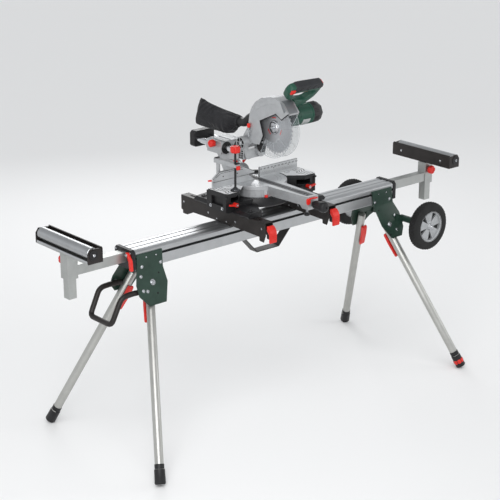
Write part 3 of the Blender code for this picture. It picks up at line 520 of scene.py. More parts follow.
def dress_stand():
    # The T-slot floors take the black marking finish as painted shade in the groove.
    dress("beam", "extruded", "ink", bevel=0.0008, angle=25,
          choose=beam_finish)
    dress("carry_handle", "black_paint", bevel=0.0008, angle=50)
    dress("rest_foot", "black_paint", bevel=0.0007)
    for side in ("left", "right"):
        dress("beam_cap_" + side, "black_plastic", bevel=0.0015)
        dress("extension_tube_" + side, "tube", bevel=0.0022)
        dress("extension_lever_" + side, "red", bevel=0.0022)
        dress("cross_arm_" + side, "black_paint", bevel=0.0016)
        dress("arm_lever_" + side, "red", bevel=0.0022, angle=20)
        dress("leg_bracket_" + side, "green_paint", "steel", bevel=0.0008,
              choose=lambda c, n: 1 if abs(c.y - STAND.y) > 0.217 else 0)
        dress("roller_" + side, "roller", bevel=0.0006)
        dress("roller_stand_" + side, "black_paint", "tube", bevel=0.001, choose=stand_finish)
        for end in ("front", "rear"):
            dress(f"leg_{side}_{end}", "leg", "black_plastic", bevel=0.0008, angle=50,
                  choose=lambda c, n: 1 if c.z < 0.0565 else 0)


def beam_finish(centre, normal):
    """The floor of the T-slot in each side is dark: painted shade in the groove."""
    at = centre - STAND
    return 1 if 0.7965 < at.z < 0.8055 and 0.045 < abs(at.y) < 0.0535 else 0


def stand_finish(centre, normal):
    """The post and the channel are bare metal; the stop plate and the end cheeks are black."""
    side = 1 if centre.x > 0 else -1
    at = centre - STAND
    if at.z < 0.8775 or (at.z < 0.8825 and abs(at.y) < 0.168 and side * at.x > SLEEVE_X - 0.03):
        return 1
    return 0


def make_wheel(t):
    """Five broad ribbed spokes with dark windows between them, and a knurled tyre."""
    c = WHEEL + STAND
    c.y = STAND.y + t * WHEEL.y
    tyre = Shape()
    r = WHEEL_RADIUS
    section = [(0.066, -0.0205), (0.076, -0.0225), (r - 0.015, -0.0224), (r - 0.009, -0.0205),
               (r - 0.004, -0.016), (r - 0.0024, -0.008), (r - 0.0022, 0.0), (r - 0.0024, 0.008),
               (r - 0.004, 0.016), (r - 0.009, 0.0205), (r - 0.015, 0.0224), (0.076, 0.0225),
               (0.066, 0.0205)]
    tyre.lathe("rubber", "Y", c.x, c.z, [(a, c.y + b) for a, b in section], 96)
    blocks = 44
    for row, offset in ((-0.0125, 0.5), (-0.0042, 0.0), (0.0042, 0.5), (0.0125, 0.0)):
        for i in range(blocks):
            a = 2 * pi * (i + offset) / blocks
            out = Vector((cos(a), 0, sin(a)))
            along = Vector((-sin(a), 0, cos(a)))
            low = r - (0.008 if abs(row) > 0.01 else 0.0035)
            high = r - (0.0022 if abs(row) > 0.01 else 0.0002)
            base = Vector((c.x, c.y + row, c.z))
            points = []
            for reach, scale in ((low, 1.0), (high, 0.72)):
                for u, v in ((-1, 0), (0, -1), (1, 0), (0, 1)):
                    points.append(base + out * reach + along * (u * 0.0072 * scale)
                                  + Vector((0, v * 0.0052 * scale, 0)))
            tyre.add(points, BLOCK_FACES,
                     "rubber")
    name = "wheel_" + end_name(t)
    tyre.piece(name + "_tyre", name, replaces=[name])
    rim = Shape()
    section = [(0.0635, -0.0185), (0.069, -0.0215), (0.069, 0.0215), (0.0635, 0.0185), (0.062, 0.013),
               (0.062, -0.013)]
    rim.lathe("cast", "Y", c.x, c.z, [(a, c.y + b) for a, b in section], 72)
    hub = [(0.0066, -0.0215), (0.013, -0.0215), (0.015, -0.019), (0.0165, -0.0125), (0.019, -0.011),
           (0.019, 0.011), (0.0165, 0.0125), (0.015, 0.019), (0.013, 0.0215), (0.0066, 0.0215)]
    rim.lathe("cast", "Y", c.x, c.z, [(a, c.y + b) for a, b in hub], 48)
    for i in range(5):
        middle = 24 + 72 * i

        def spot(reach, turn):
            return c.x + reach * cos(radians(middle + turn)), c.z + reach * sin(radians(middle + turn))

        outline = [spot(0.016, -33), spot(0.02, -34)] + [spot(0.0634, t) for t in range(-23, 24, 2)]
        outline += [spot(0.02, 34), spot(0.016, 33)]
        rim.prism("cast", "Y", outline, c.y - 0.0112, c.y + 0.0112)
        for turn in (-15, -5, 5, 15):
            for s in (-1, 1):
                rim.strip("cast", "Y", [spot(0.0245, turn * 1.15), spot(0.061, turn)], 0.0011,
                          *sorted((c.y + s * 0.011, c.y + s * 0.012)))
    rim.piece(name + "_rim", name, bevel=0.001)
    web = Shape()
    web.lathe("black_plastic", "Y", c.x, c.z, [(a, c.y + b) for a, b in ((0.018, -0.003), (0.064, -0.003),
                                                                         (0.064, 0.003), (0.018,
                                                                                          0.003))], 60)
    web.piece(name + "_web", name)
    centre = Shape()
    face = c.y + t * 0.0212
    outer = [(0, 0.0), (0.0125, 0.0), (0.0125, 0.0014), (0.009, 0.0022), (0.0062, 0.008), (0, 0.0085)]
    centre.lathe("steel", "Y", c.x, c.z, [(a, face + t * b) for a, b in outer], 32)
    centre.piece(name + "_hub_cap", name)


def plate_axes(t):
    """Down and outwards along the plates of one side, front or rear."""
    down = Vector((0, t * sin(PLATE_LEAN), -cos(PLATE_LEAN)))
    return down, Vector((0, t * cos(PLATE_LEAN), sin(PLATE_LEAN)))


def make_bracket_bolts(side):
    """Bolts through the leaning plates, at the leg pivots, and along the beam."""
    for t in (-1, 1):
        down, normal = plate_axes(t)
        bolts = Shape(STAND)
        bend = Vector((side * PIVOT_X, t * (BEND_Y + PLATE_HALF), BEND_Z))
        drop = PIVOT_DROP[side]
        bolts.bolt("steel", bend + down * drop, normal, 0.008, 0.006, washer=0.012)
        bolts.bolt("steel", bend + down * (drop - 0.032) + Vector((side * 0.046, 0, 0)), normal, 0.0045,
                   0.003,
                   washer=0.0068)
        bolts.bolt("steel", bend + down * (drop + 0.03) + Vector((side * 0.034, 0, 0)), normal, 0.0045,
                   0.003,
                   washer=0.0068)
        bolts.bolt("ink", bend + down * (drop + 0.046) - Vector((side * 0.01, 0, 0)), normal, 0.0042, 0.0004,
                   socket=False)
        bolts.bolt("ink", bend + down * 0.02 - Vector((side * 0.04, 0, 0)), normal, 0.0038, 0.0004,
                   socket=False)
        for x in (0.598, 0.69):
            bolts.bolt("steel", (side * x, t * 0.0594, 0.765), (0, t, 0), 0.0045, 0.0034, washer=0.007)
        for x in (0.62, 0.668):
            bolts.bolt("steel", (side * x, t * 0.0594, 0.8), (0, t, 0), 0.003, 0.002, socket=False)
        if side < 0:
            hoop = Vector((-0.708, t * 0.073, 0.669))
            bolts.tube("steel", [hoop + normal * 0.008, hoop + normal * 0.0164], 0.0065, 24)
            bolts.bolt("steel", hoop + normal * 0.0205, normal, 0.0045, 0.003, washer=0.0068)
        bolts.piece(f"bracket_bolts_{side_name(side)}_{end_name(t)}", "stand", angle=30)


def make_cap_plate(side):
    """The screws of the clamp plate on a beam end."""
    x = side * (0.733 + 0.0001)
    shape = Shape(STAND)
    for y, z in ((-0.045, 0.826), (0.045, 0.826), (-0.045, 0.766), (0.045, 0.766)):
        shape.bolt("steel", (x, y, z), (side, 0, 0), 0.0045, 0.003)
    y = side * 0.034
    shape.bolt("steel", (side * 0.7452, y, 0.818), (side, 0, 0), 0.006, 0.003, washer=0.0078)
    shape.piece("cap_screws_" + side_name(side), "stand")


def make_roller_ends(side):
    """The round boss and bolt on each end plate of a roller, and its rolled lip."""
    body = "roller_post_" + side_name(side)
    shape = Shape(STAND)
    for t in (-1, 1):
        face = t * 0.1741
        ring = [(0, 0.0), (0.02, 0.0), (0.0195, 0.0022), (0.015, 0.003), (0.013, 0.0022), (0, 0.0022)]
        shape.lathe("black_plastic", "Y", side * ROLLER_X, ROLLER_Z - 0.0035,
                    [(a, face + t * b) for a, b in ring], 40)
        shape.bolt("steel", (side * ROLLER_X, face + t * 0.0022, ROLLER_Z - 0.0035), (0, t, 0), 0.006, 0.004)
    shape.piece("roller_ends_" + side_name(side), body)
    lip = Shape(STAND)
    x = side * (SLEEVE_X - 0.034)
    edge = [(x, 0.9322), (x + side * 0.0035, 0.9322), (x + side * 0.0075, 0.9352),
            (x + side * 0.0072, 0.9372),
            (x + side * 0.002, 0.9372), (x - side * 0.0004, 0.935)]
    lip.prism("black_paint", "Y", edge, -0.172, 0.172)
    for y in (-0.12, 0.12):
        lip.bolt("steel", (x - side * 0.0001, y, 0.905), (-side, 0, 0), 0.0055, 0.0022, socket=False)
    lip.piece("roller_stop_lip_" + side_name(side), body, bevel=0.0006)
    tray = Shape(STAND)
    x0, x1 = sorted((side * (ROLLER_X + 0.0212), side * (ROLLER_X + 0.0248)))
    tray.box("extruded", x0, x1, -0.1675, 0.1675, 0.8785, 0.8905)
    tray.piece("roller_tray_" + side_name(side), body, bevel=0.0008)


def make_height_knob(side):
    x = side * SLEEVE_X
    a, b = -side * 0.028, -side * 0.048
    shape = Shape(STAND)
    shape.knob("red", "Y", x, KNOB_Z, a, b, 0.0192, 5)
    shape.pin("steel", "Y", x, KNOB_Z, 0.004, -side * 0.0183, a, 20)
    shape.lathe("red", "Y", x, KNOB_Z, [(0, -side * 0.024), (0.0095, -side * 0.024), (0.011, a), (0, a)], 32)
    name = "height_knob_" + side_name(side)
    shape.piece(name + "_star", name, bevel=0.0006, replaces=[name], angle=40)


def make_arm_fittings(index):
    """Rivets and the black hooks' end screws of a cross arm, and ribs on its red lever."""
    side = -1 if index == 0 else 1
    x = ARM_X[index]
    shape = Shape(STAND)
    for s in (-1, 1):
        face = x + s * 0.0211
        for y, z, r in ((-0.246, 0.868, 0.0042), (-0.085, 0.858, 0.0042), (0.085, 0.858, 0.0042),
                        (0.246, 0.868, 0.0042), (-0.03, 0.845, 0.0034), (0.03, 0.845, 0.0034)):
            shape.bolt("steel", (face, y, z), (s, 0, 0), r, 0.0016, socket=False)
    shape.bolt("steel", (x - 0.0168, -0.26, 0.858), (-1, 0, 0), 0.004, 0.0016)
    shape.piece("arm_rivets_" + side_name(side), "saw_carriage")
    lever = Shape(STAND)
    for z in (0.836, 0.843, 0.85):
        lever.prism("red", "X", [(-0.2962, z - 0.0014), (-0.2975, z), (-0.2962, z + 0.0014), (-0.295, z)],
                    x - 0.013, x + 0.013)
    lever.piece("arm_lever_ribs_" + side_name(side), "arm_lever_" + side_name(side), bevel=0.0004)


def leg_matrix(s, t):
    """The frame of a leg: local -Z runs down it, local Y is the outward normal of its plate."""
    down, normal = plate_axes(t)
    at = Vector((s * PIVOT_X, t * BEND_Y, BEND_Z)) + down * PIVOT_DROP[s] - normal * 0.0215
    reach = at.z / cos(PLATE_LEAN)
    spread = (FOOT_X - PIVOT_X) / reach
    z = -(down + Vector((s * spread, 0, 0))).normalized()
    x = normal.cross(z)
    length = reach * sqrt(1 + spread ** 2)
    return Matrix.Translation(STAND + at) @ Matrix((x, normal, z)).transposed().to_4x4(), length


def make_leg_fittings(s, t):
    frame_at, length = leg_matrix(s, t)
    name = f"{side_name(s)}_{end_name(t)}"
    latch = Shape()
    latch.at = frame_at
    outer = [(-0.0216, -0.036), (-0.0216, -0.06), (-0.0242, -0.085), (-0.0236, -0.15), (-0.0284, -0.154),
             (-0.0335, -0.148), (-0.0358, -0.085), (-0.0338, -0.04), (-0.028, -0.0345)]
    latch.prism("red", "X", rounded(outer, 0.004), -0.0115, 0.0115)
    for k in range(6):
        z = -0.095 - k * 0.0085
        for x in (-1, 1):
            latch.box("red", *sorted((x * 0.0114, x * 0.0124)), -0.033, -0.025, z - 0.002, z + 0.002)
    latch.piece(f"latch_lever_{name}", f"leg_latch_{name}", bevel=0.0012, replaces=[f"leg_latch_{name}"])
    foot = Shape()
    foot.at = frame_at
    r = LEG_RADIUS
    cut = length - FOOT_CUT
    foot.lathe("black_plastic", "Z", 0, 0, [(r + 0.0004, 0.078 - cut), (r + 0.0016, 0.077 - cut),
                                            (r + 0.0016, 0.0605 - cut), (r + 0.0004, 0.0595 - cut)], 40)
    foot.piece(f"leg_collar_{name}", f"leg_{name}")


def make_levelling_foot():
    """The red star foot that trims one leg to an uneven floor."""
    frame_at, length = leg_matrix(1, -1)
    cut = length - FOOT_CUT
    foot = Shape()
    foot.at = frame_at
    foot.knob("red", "Z", 0, 0, 0.016 - cut, 0.038 - cut, 0.0235, 7)
    foot.piece("levelling_foot", "leg_right_front", bevel=0.001)


def make_stand_details():
    dress_stand()
    for t in (-1, 1):
        make_wheel(t)
    for side in (-1, 1):
        make_bracket_bolts(side)
        make_cap_plate(side)
        make_roller_ends(side)
        make_height_knob(side)
        for t in (-1, 1):
            make_leg_fittings(side, t)
    for index in (0, 1):
        make_arm_fittings(index)
    make_levelling_foot()


# ---------------------------------------------------------------- saw

def local(centre):
    return centre - SAW


def dress_saw():
    dress("saw_base", "base_black", bevel=0.0016)
    dress("turntable", "cast", "machined", bevel=0.001,
          choose=lambda c, n: 1 if n.z > 0.9 and local(c).z > 0.0885 else 0)
    dress("table_insert", "insert", bevel=0.0003)
    dress("fence", "fence", "base_black", bevel=0.0006,
          choose=fence_finish)
    dress("sliding_fence", "fence", bevel=0.0006)
    dress("clamp_bracket", "cast", bevel=0.0016)
    dress("bevel_arm", "cast", bevel=0.0016)
    dress("head_bracket", "cast", bevel=0.0012)
    dress("head_casting", "cast", "base_black", bevel=0.002, choose=casting_finish)
    dress("motor_housing", "green", bevel=0.0016)
    dress("lower_guard", "clear", bevel=0.0004)
    dress("rail_cap", "black_plastic", bevel=0.0025)
    dress("dust_port", "black_plastic", bevel=0.001, angle=50)
    dress("lock_off_button", "red", bevel=0.0018)
    dress("trigger", "red", bevel=0.002)
    for side in ("left", "right"):
        dress("rail_" + side, "chrome", bevel=0.0006)
        dress("side_table_" + side, "base_black", "table_top", "steel", bevel=0.0012,
              choose=side_table_finish)
        dress("side_table_lever_" + side, "red", bevel=0.0012)


def fence_finish(centre, normal):
    """The bridge and the feet behind the two plates are black."""
    at = local(centre)
    return 1 if at.y > 0.0072 or (at.z < 0.1005 and abs(at.x) < 0.009) else 0


def casting_finish(centre, normal):
    """The inside of the blade housing is black."""
    at = local(centre)
    inside = Vector((at.y - BLADE_Y, at.z - BLADE_Z)).length < 0.1264 and abs(at.x) < 0.0277
    return 1 if inside else 0


def side_table_finish(centre, normal):
    at = local(centre)
    if normal.z > 0.9 and at.z > 0.0885:
        return 1
    if abs(at.x) < 0.2352 and at.z < 0.0305:
        return 2
    return 0


def make_turntable_details():
    shape = Shape(SAW)
    top = TABLE_Z + 0.00005
    for radius, start, end in ((0.084, -58, -6), (0.098, -62, -6), (0.084, 186, 238), (0.098, 186, 242)):
        shape.strip("grey_band", "Z", arc(0, 0, radius, start, end, 24), 0.001, top - 0.0002, top + 0.0001)
    for angle in range(200, 341, 12):
        if 246 < angle < 294:
            continue
        a = radians(angle)
        x, y = 0.1161 * cos(a), 0.1161 * sin(a)
        shape.pin("cast", "Z", x, y, 0.0011, 0.0432, 0.0712, 8)
    for s in (-1, 1):
        for z in (0.06, 0.08):
            shape.tube("cast", [(s * 0.0445, -0.12, z), (s * 0.0325, -0.292, z)], 0.0009, 8)
        shape.prism("cast", "Z", [(s * 0.046, -0.104), (s * 0.058, -0.104), (s * 0.054, -0.1085),
                                  (s * 0.0455, -0.1125)],
                    0.046, 0.0888)
    shape.piece("turntable_lines", "turntable", angle=30)
    screws = Shape(SAW)
    for x, y in ((-0.012, -0.305), (0.012, -0.305), (-0.012, -0.196), (0.012, -0.196), (-0.012, -0.05),
                 (0.012, -0.05), (-0.012, 0.055), (0.012, 0.055)):
        screws.bolt("steel", (x, y, 0.0896), (0, 0, 1), 0.0026, 0.0006)
    screws.lathe("steel", "Z", 0, -0.3, thread(0.005, 0.013, 0.05, 0.0015), 20)
    foot = [(0, 0.002), (0.0105, 0.002), (0.0115, 0.0035), (0.0115, 0.01), (0.01, 0.012), (0.0075, 0.0128),
            (0.007, 0.015), (0, 0.015)]
    screws.lathe("black_plastic", "Z", 0, -0.3, foot, 32, lambda a: 1 + 0.02 * cos(16 * a))
    screws.piece("table_screws_and_foot", "turntable")
    pointer = Shape(SAW)
    tip = [(r * cos(radians(a)), r * sin(radians(a)))
           for r, a in ((0.1164, -111), (0.1164, -118), (0.1255, -117.5), (0.1276, -114.5),
                        (0.1255, -111.5))]
    pointer.prism("red", "Z", tip, 0.0436, 0.054)
    pointer.piece("mitre_pointer", "turntable", bevel=0.0008)
    scale = Shape(SAW)
    for degrees in range(-140, -39, 5):
        a = radians(degrees)
        inner = 0.1225 if degrees % 15 == -5 % 15 else 0.125
        scale.strip("label", "Z", [(inner * cos(a), inner * sin(a)), (0.1288 * cos(a), 0.1288 * sin(a))],
                    0.0008,
                    0.0419, 0.0422)
    scale.piece("mitre_scale", "saw_carriage")


def thread(radius, low, high, pitch, depth=0.0006):
    """The profile of a threaded rod, closed on the axis."""
    profile = [(0, low)]
    count = int((high - low) / pitch)
    for i in range(count):
        z = low + i * pitch
        profile += [(radius - depth, z), (radius, z + pitch * 0.5)]
    return profile + [(radius - depth, high), (0, high)]


def make_fence_details():
    """The scale in millimetres on the right fence, and the dark edging of all three plates."""
    shape = Shape(SAW)
    low, high = -0.00025, 0.0001
    for mm in range(20, 224, 5):
        x = mm / 1000 - 0.001
        tall = 0.015 if mm % 10 == 0 else 0.0115
        shape.box("ink", x - 0.0003, x + 0.0003, low, high, 0.1, 0.1 + tall)
    for mm in range(20, 221, 20):
        place = Matrix.Translation((mm / 1000 - (0.003 if mm > 90 else 0.001), low + 0.0001, 0.1225))
        place = place @ Matrix(((1, 0, 0, 0), (0, 0, -1, 0), (0, 1, 0, 0), (0, 0, 0, 1)))
        shape.text("ink", str(mm), 0.0088, place)
    edge = [(0.0115, 0.093), (0.0115, 0.1322), (0.015, 0.1358), (0.221, 0.1358)]
    shape.strip("ink", "Y", edge, 0.0014, low, high)
    for x in (0.0895, 0.171):
        shape.pin("ink", "Y", x, 0.1195, 0.0024, low, high, 24)
    left = [(-0.239, 0.1165), (-0.05, 0.1165), (-0.016, 0.093)]
    shape.strip("ink", "Y", left, 0.0012, low, high)
    shape.piece("fence_markings", "saw_carriage", angle=30)
    upper = Shape(SAW)
    line = [(-0.238, 0.129), (-0.234, 0.1336), (-0.2045, 0.1542), (-0.076, 0.1542), (-0.019, 0.1262)]
    upper.strip("ink", "Y", line, 0.0022, low, high)
    line = [(-0.225, 0.133), (-0.198, 0.148), (-0.09, 0.148), (-0.08, 0.144), (-0.1, 0.144)]
    upper.strip("ink", "Y", line, 0.0016, low, high)
    for x in (-0.185, -0.11):
        upper.pin("ink", "Y", x, 0.133, 0.0028, low, high, 24)
    upper.piece("sliding_fence_markings", "sliding_fence", angle=30)
    lever = Shape(SAW)
    lever.prism("red", "Z", rounded([(-0.23, 0.007), (-0.23, 0.011), (-0.242, 0.017), (-0.2525, 0.017),
                                     (-0.2525, 0.012), (-0.242, 0.007)], 0.002), 0.1205, 0.126)
    lever.piece("fence_lock_lever", "sliding_fence", bevel=0.0008)


def make_side_table_details(side):
    s = side
    body = "side_table_" + side_name(side)
    shape = Shape(SAW)
    low, high = TABLE_Z - 0.0001, TABLE_Z + 0.00015
    for k in range(4):
        x = s * (0.238 - k * 0.014)
        path = [(x, 0.019), (x, -0.024 - k * 0.002), (x - s * 0.015, -0.042), (x - s * 0.015, -0.062),
                (x - s * 0.006, -0.072), (x - s * 0.006, -0.09)]
        shape.strip("ink", "Z", path, 0.0034, low, high)
    ring = (s * 0.158, -0.005)
    shape.band("ink", "Z", arc(*ring, 0.0125, steps=40), arc(*ring, 0.0115, steps=40), low, high)
    shape.band("ink", "Z", arc(*ring, 0.0085, steps=40), arc(*ring, 0.0077, steps=40), low, high)
    shape.piece("grip_lines_" + side_name(side), body, angle=30)
    bosses = Shape(SAW)
    for y in (-0.066, 0.006):
        ring = [(0.003, 0.0), (0.0072, 0.0), (0.0072, 0.0014), (0.0062, 0.002), (0.004, 0.002),
                (0.003, 0.001)]
        bosses.lathe("steel", "X", y, 0.024, [(a, s * (0.2459 + b)) for a, b in ring], 32)
        bosses.pin("base_black", "X", y, 0.024, 0.0029, s * 0.2459, s * 0.2465, 24)
    bosses.box("base_black", *sorted((s * 0.236, s * 0.2458)), -0.0945, -0.0881, 0.07, 0.0772)
    bosses.piece("side_table_bosses_" + side_name(side), body)
    lever = Shape(SAW)
    ring = [(0.002, 0.0), (0.0062, 0.0), (0.0058, -0.0012), (0.003, -0.0012)]
    lever.lathe("steel", "Y", s * 0.2, 0.038, [(a, -0.1055 + b) for a, b in ring], 32)
    lever.piece("side_lever_ring_" + side_name(side), "side_table_lever_" + side_name(side))
    feet = Shape(SAW)
    for y in (-0.16, 0.133):
        ring = [(0.0045, 0.0205), (0.011, 0.0205), (0.011, 0.0238), (0.0095, 0.025), (0.006, 0.025),
                (0.0045, 0.023)]
        feet.lathe("base_black", "Z", s * 0.178, y, ring, 32)
        feet.pin("steel", "Z", s * 0.178, y, 0.004, 0.0205, 0.0228, 6)
    feet.piece("foot_screws_" + side_name(side), "saw_carriage")


def make_clamp_details():
    x = CLAMP_X
    shape = Shape(SAW)
    for y in (0.036, -0.0905):
        outline = rounded([(x - 0.0125, y - 0.004), (x + 0.0125, y - 0.004), (x + 0.0125, y + 0.006),
                           (x - 0.0125, y + 0.006)], 0.005)
        shape.prism("base_black", "Z", outline, 0.2045, 0.2075)
    shape.lathe("steel", "Z", x, SPINDLE_Y, [(0.0058, 0.1885), (0.0095, 0.1885), (0.0095, 0.1905),
                                             (0.0058, 0.1905)], 32)
    shape.piece("clamp_arm_caps", "clamp", bevel=0.001)
    lever = Shape(SAW)
    lever.box("red", x - 0.008, x + 0.009, -0.0985, -0.0905, 0.18, 0.1965)
    lever.piece("clamp_release", "clamp", bevel=0.0022)
    screw = Shape(SAW)
    screw.lathe("base_black", "Z", x, SPINDLE_Y, thread(0.005, 0.104, 0.252, 0.0022, 0.0008), 24)
    pad = [(0, 0.0912), (0.0185, 0.0912), (0.02, 0.0926), (0.02, 0.095), (0.018, 0.0966), (0.013, 0.0972),
           (0.011, 0.1), (0.0075, 0.1046), (0, 0.1046)]
    screw.lathe("charcoal", "Z", x, SPINDLE_Y, pad, 48)
    screw.ring("steel", "Z", x, SPINDLE_Y, 0.016, 0.0148, 0.096, 0.0974, 48)
    screw.knob("red", "Z", x, SPINDLE_Y, 0.249, 0.276, 0.0205, 6)
    screw.piece("clamp_spindle", "clamp_screw", bevel=0.0005, replaces=["clamp_screw"], angle=40)


def make_arm_and_rail_details():
    shape = Shape(SAW)
    for s in (-1, 1):
        for y, out in ((0.158, -1), (0.258, 1)):
            ring = [(0.013, 0.0), (0.0262, 0.0), (0.0262, 0.0007), (0.024, 0.0011), (0.016, 0.0011),
                    (0.013, 0.0007)]
            shape.lathe("black_plastic", "Y", s * RAIL_X, RAIL_Z, [(a, y + out * b) for a, b in ring], 40)
    shape.piece("rail_seals", "bevel")
    ribs = Shape(SAW)
    for x in (-0.0272, 0.0246):
        ribs.prism("cast", "X", [(0.15, 0.12), (0.176, 0.092), (0.182, 0.1), (0.158, 0.13)], x, x + 0.0026)
        ribs.prism("cast", "X", [(0.164, 0.16), (0.212, 0.15), (0.216, 0.156), (0.166, 0.168)], x,
                   x + 0.0026)
    for x in (-0.04, 0.0, 0.04):
        ribs.box("cast", x - 0.0015, x + 0.0015, 0.172, 0.25, 0.2216, 0.224)
    ribs.box("cast", -0.059, -0.0578, 0.175, 0.245, 0.19, 0.193)
    ribs.piece("bevel_arm_ribs", "bevel", bevel=0.0006)
    red = Shape(SAW)
    for s in (-1, 1):
        red.prism("red", "Y", [(s * 0.03, 0.1365), (s * 0.052, 0.137), (s * 0.03, 0.119)], 0.128, 0.132)
    red.lathe("red", "Y", -0.02, 0.142, [(0, 0.11), (0.0062, 0.11), (0.0068, 0.1115), (0.0068, 0.124),
                                         (0, 0.124)], 8)
    red.pin("steel", "Y", -0.02, 0.142, 0.0035, 0.1235, 0.15, 16)
    red.piece("bevel_pointers", "bevel", bevel=0.0007)
    knob = Shape(SAW)
    knob.knob("red", "X", 0.202, 0.212, -0.065, -0.0885, 0.016, 5)
    knob.pin("steel", "X", 0.202, 0.212, 0.0045, -0.0486, -0.0655, 20)
    knob.piece("slide_lock_star", "slide_lock_knob", bevel=0.0005, replaces=["slide_lock_knob"], angle=40)
    cap = Shape(SAW)
    for z in (0.176, 0.186, 0.204, 0.214):
        cap.box("black_plastic", -0.056, 0.056, 0.35, 0.372, z - 0.001, z + 0.001)
    for x in (-RAIL_X, RAIL_X):
        cap.bolt("steel", (x, 0.376, RAIL_Z), (0, 1, 0), 0.006, 0.003)
    cap.piece("rail_cap_ribs", "rails", bevel=0.0005)


def make_bracket_details():
    """The spoked round hub and its ribbed leg, in front of the chop pivot, with painted shade in their
    recesses.
    """
    shape = Shape(SAW)
    for s in (-1, 1):
        x0, x1 = sorted((s * 0.0561, s * 0.06))
        shape.ring("cast", "X", CHOP_Y, CHOP_Z, 0.0262, 0.0224, x0, x1, 56)
        shape.ring("cast", "X", CHOP_Y, CHOP_Z, 0.0085, 0.005, x0, x1, 32)
        for k in range(6):
            a = radians(60 * k + 12)
            u, v = Vector((cos(a), sin(a))), Vector((-sin(a), cos(a)))
            middle = Vector((CHOP_Y, CHOP_Z))
            corners = [middle + u * r + v * w for r, w in ((0.008, -0.0011), (0.0228, -0.0011),
                                                           (0.0228, 0.0011),
                                                           (0.008, 0.0011))]
            shape.prism("cast", "X", [tuple(c) for c in corners], x0, x1 - s * 0.0 if s > 0 else x1)
        shape.band("cast", "X", rounded([(0.02, 0.176), (0.054, 0.176), (0.054, 0.216), (0.02, 0.216)],
                                        0.003),
                   rounded([(0.0225, 0.1785), (0.0515, 0.1785), (0.0515, 0.2135), (0.0225, 0.2135)],
                           0.002), x0, x1)
        for z in (0.186, 0.1955, 0.205):
            shape.box("cast", x0, x1, 0.0215, 0.0525, z - 0.001, z + 0.001)
        shape.box("cast", x0, x1, 0.036, 0.038, 0.1775, 0.2145)
    shape.piece("hub_ribs", "rails", bevel=0.0005)
    # Black discs and panels under the spokes and ribs are painted shade in the recesses; the bolt sits in
    # the middle.
    dark = Shape(SAW)
    for s in (-1, 1):
        x0, x1 = sorted((s * 0.0559, s * 0.0569))
        dark.prism("ink", "X", arc(CHOP_Y, CHOP_Z, 0.0226, steps=48), x0, x1)
        dark.prism("ink", "X", [(0.022, 0.178), (0.052, 0.178), (0.052, 0.214), (0.022, 0.214)], x0, x1)
        dark.bolt("steel", (s * 0.0568, CHOP_Y, CHOP_Z), (s, 0, 0), 0.0046, 0.003)
    dark.piece("hub_recess_painted_shade_and_bolt", "rails")


def make_head_details():
    band = Shape(SAW)
    for s in (-1, 1):
        x0, x1 = sorted((s * 0.0309, s * 0.0316))
        band.prism("grey_band", "X", [(-0.168, 0.4475), (-0.1825, 0.4412), (-0.205, 0.417), (-0.193, 0.404)],
                   x0, x1)
        edge = [(0.0045, 0.365), (-0.0255, 0.414), (-0.1005, 0.452), (-0.144, 0.4545), (-0.166, 0.446)]
        band.strip("cast", "X", edge, 0.003, x0, x1)
    band.prism("grey_band", "X", [(-0.168, 0.4481), (-0.1842, 0.4416), (-0.2165, 0.4055), (-0.2172, 0.4062),
                                  (-0.1848, 0.4428), (-0.1684, 0.449)], -0.0225, 0.0225)
    band.piece("guard_bands", "head", bevel=0.0003)
    line = Shape(SAW)
    line.tube("cast", [(-0.0312, -0.03, 0.392), (-0.0312, -0.098, 0.428), (-0.0312, -0.14, 0.43)], 0.0008, 8)
    inner = [(-0.216, 0.404), (-0.1775, 0.3748), (-0.144, 0.3932), (-0.0478, 0.348), (-0.068, 0.29),
             (-0.048, 0.25)]
    line.strip("ink", "X", inner, 0.003, -0.0311, -0.0275)
    line.piece("guard_lines", "head", angle=30)
    ribs = Shape(SAW)
    for s in (-1, 1):
        x0, x1 = sorted((s * 0.0298, s * 0.033))
        for a, b in (((-0.002, 0.306), (0.036, 0.288)), ((-0.002, 0.29), (0.046, 0.268)),
                     ((0.0, 0.274), (0.03, 0.26)),
                     ((0.004, 0.258), (0.02, 0.25))):
            ribs.strip("cast", "X", [a, b], 0.0026, x0, x1)
    ribs.piece("arm_ribs", "head", bevel=0.0006)
    stop = Shape(SAW)
    stop.box("cast", -0.044, -0.0296, 0.006, 0.02, 0.29, 0.3)
    stop.lathe("steel", "Z", -0.037, 0.013, thread(0.0032, 0.272, 0.312, 0.0012), 18)
    stop.pin("steel", "Z", -0.037, 0.013, 0.0062, 0.3, 0.304, 6)
    stop.piece("depth_stop", "head", bevel=0.0006)
    cap = Shape(SAW)
    cap.lathe("red", "Z", -0.037, 0.013, [(0, 0.31), (0.0066, 0.31), (0.0072, 0.312), (0.0072, 0.325),
                                            (0.006, 0.3268), (0, 0.3268)], 8)
    cap.piece("depth_stop_cap", "head", bevel=0.0008)
    flap = Shape(SAW)
    outline = [(-0.009, 0.24), (-0.043, 0.248), (-0.038, 0.226), (-0.032, 0.208), (-0.027, 0.215),
               (-0.023, 0.21),
               (-0.017, 0.218), (-0.012, 0.222)]
    flap.prism("base_black", "X", outline, -0.0128, 0.0128)
    flap.piece("chute_flap", "head", bevel=0.001)


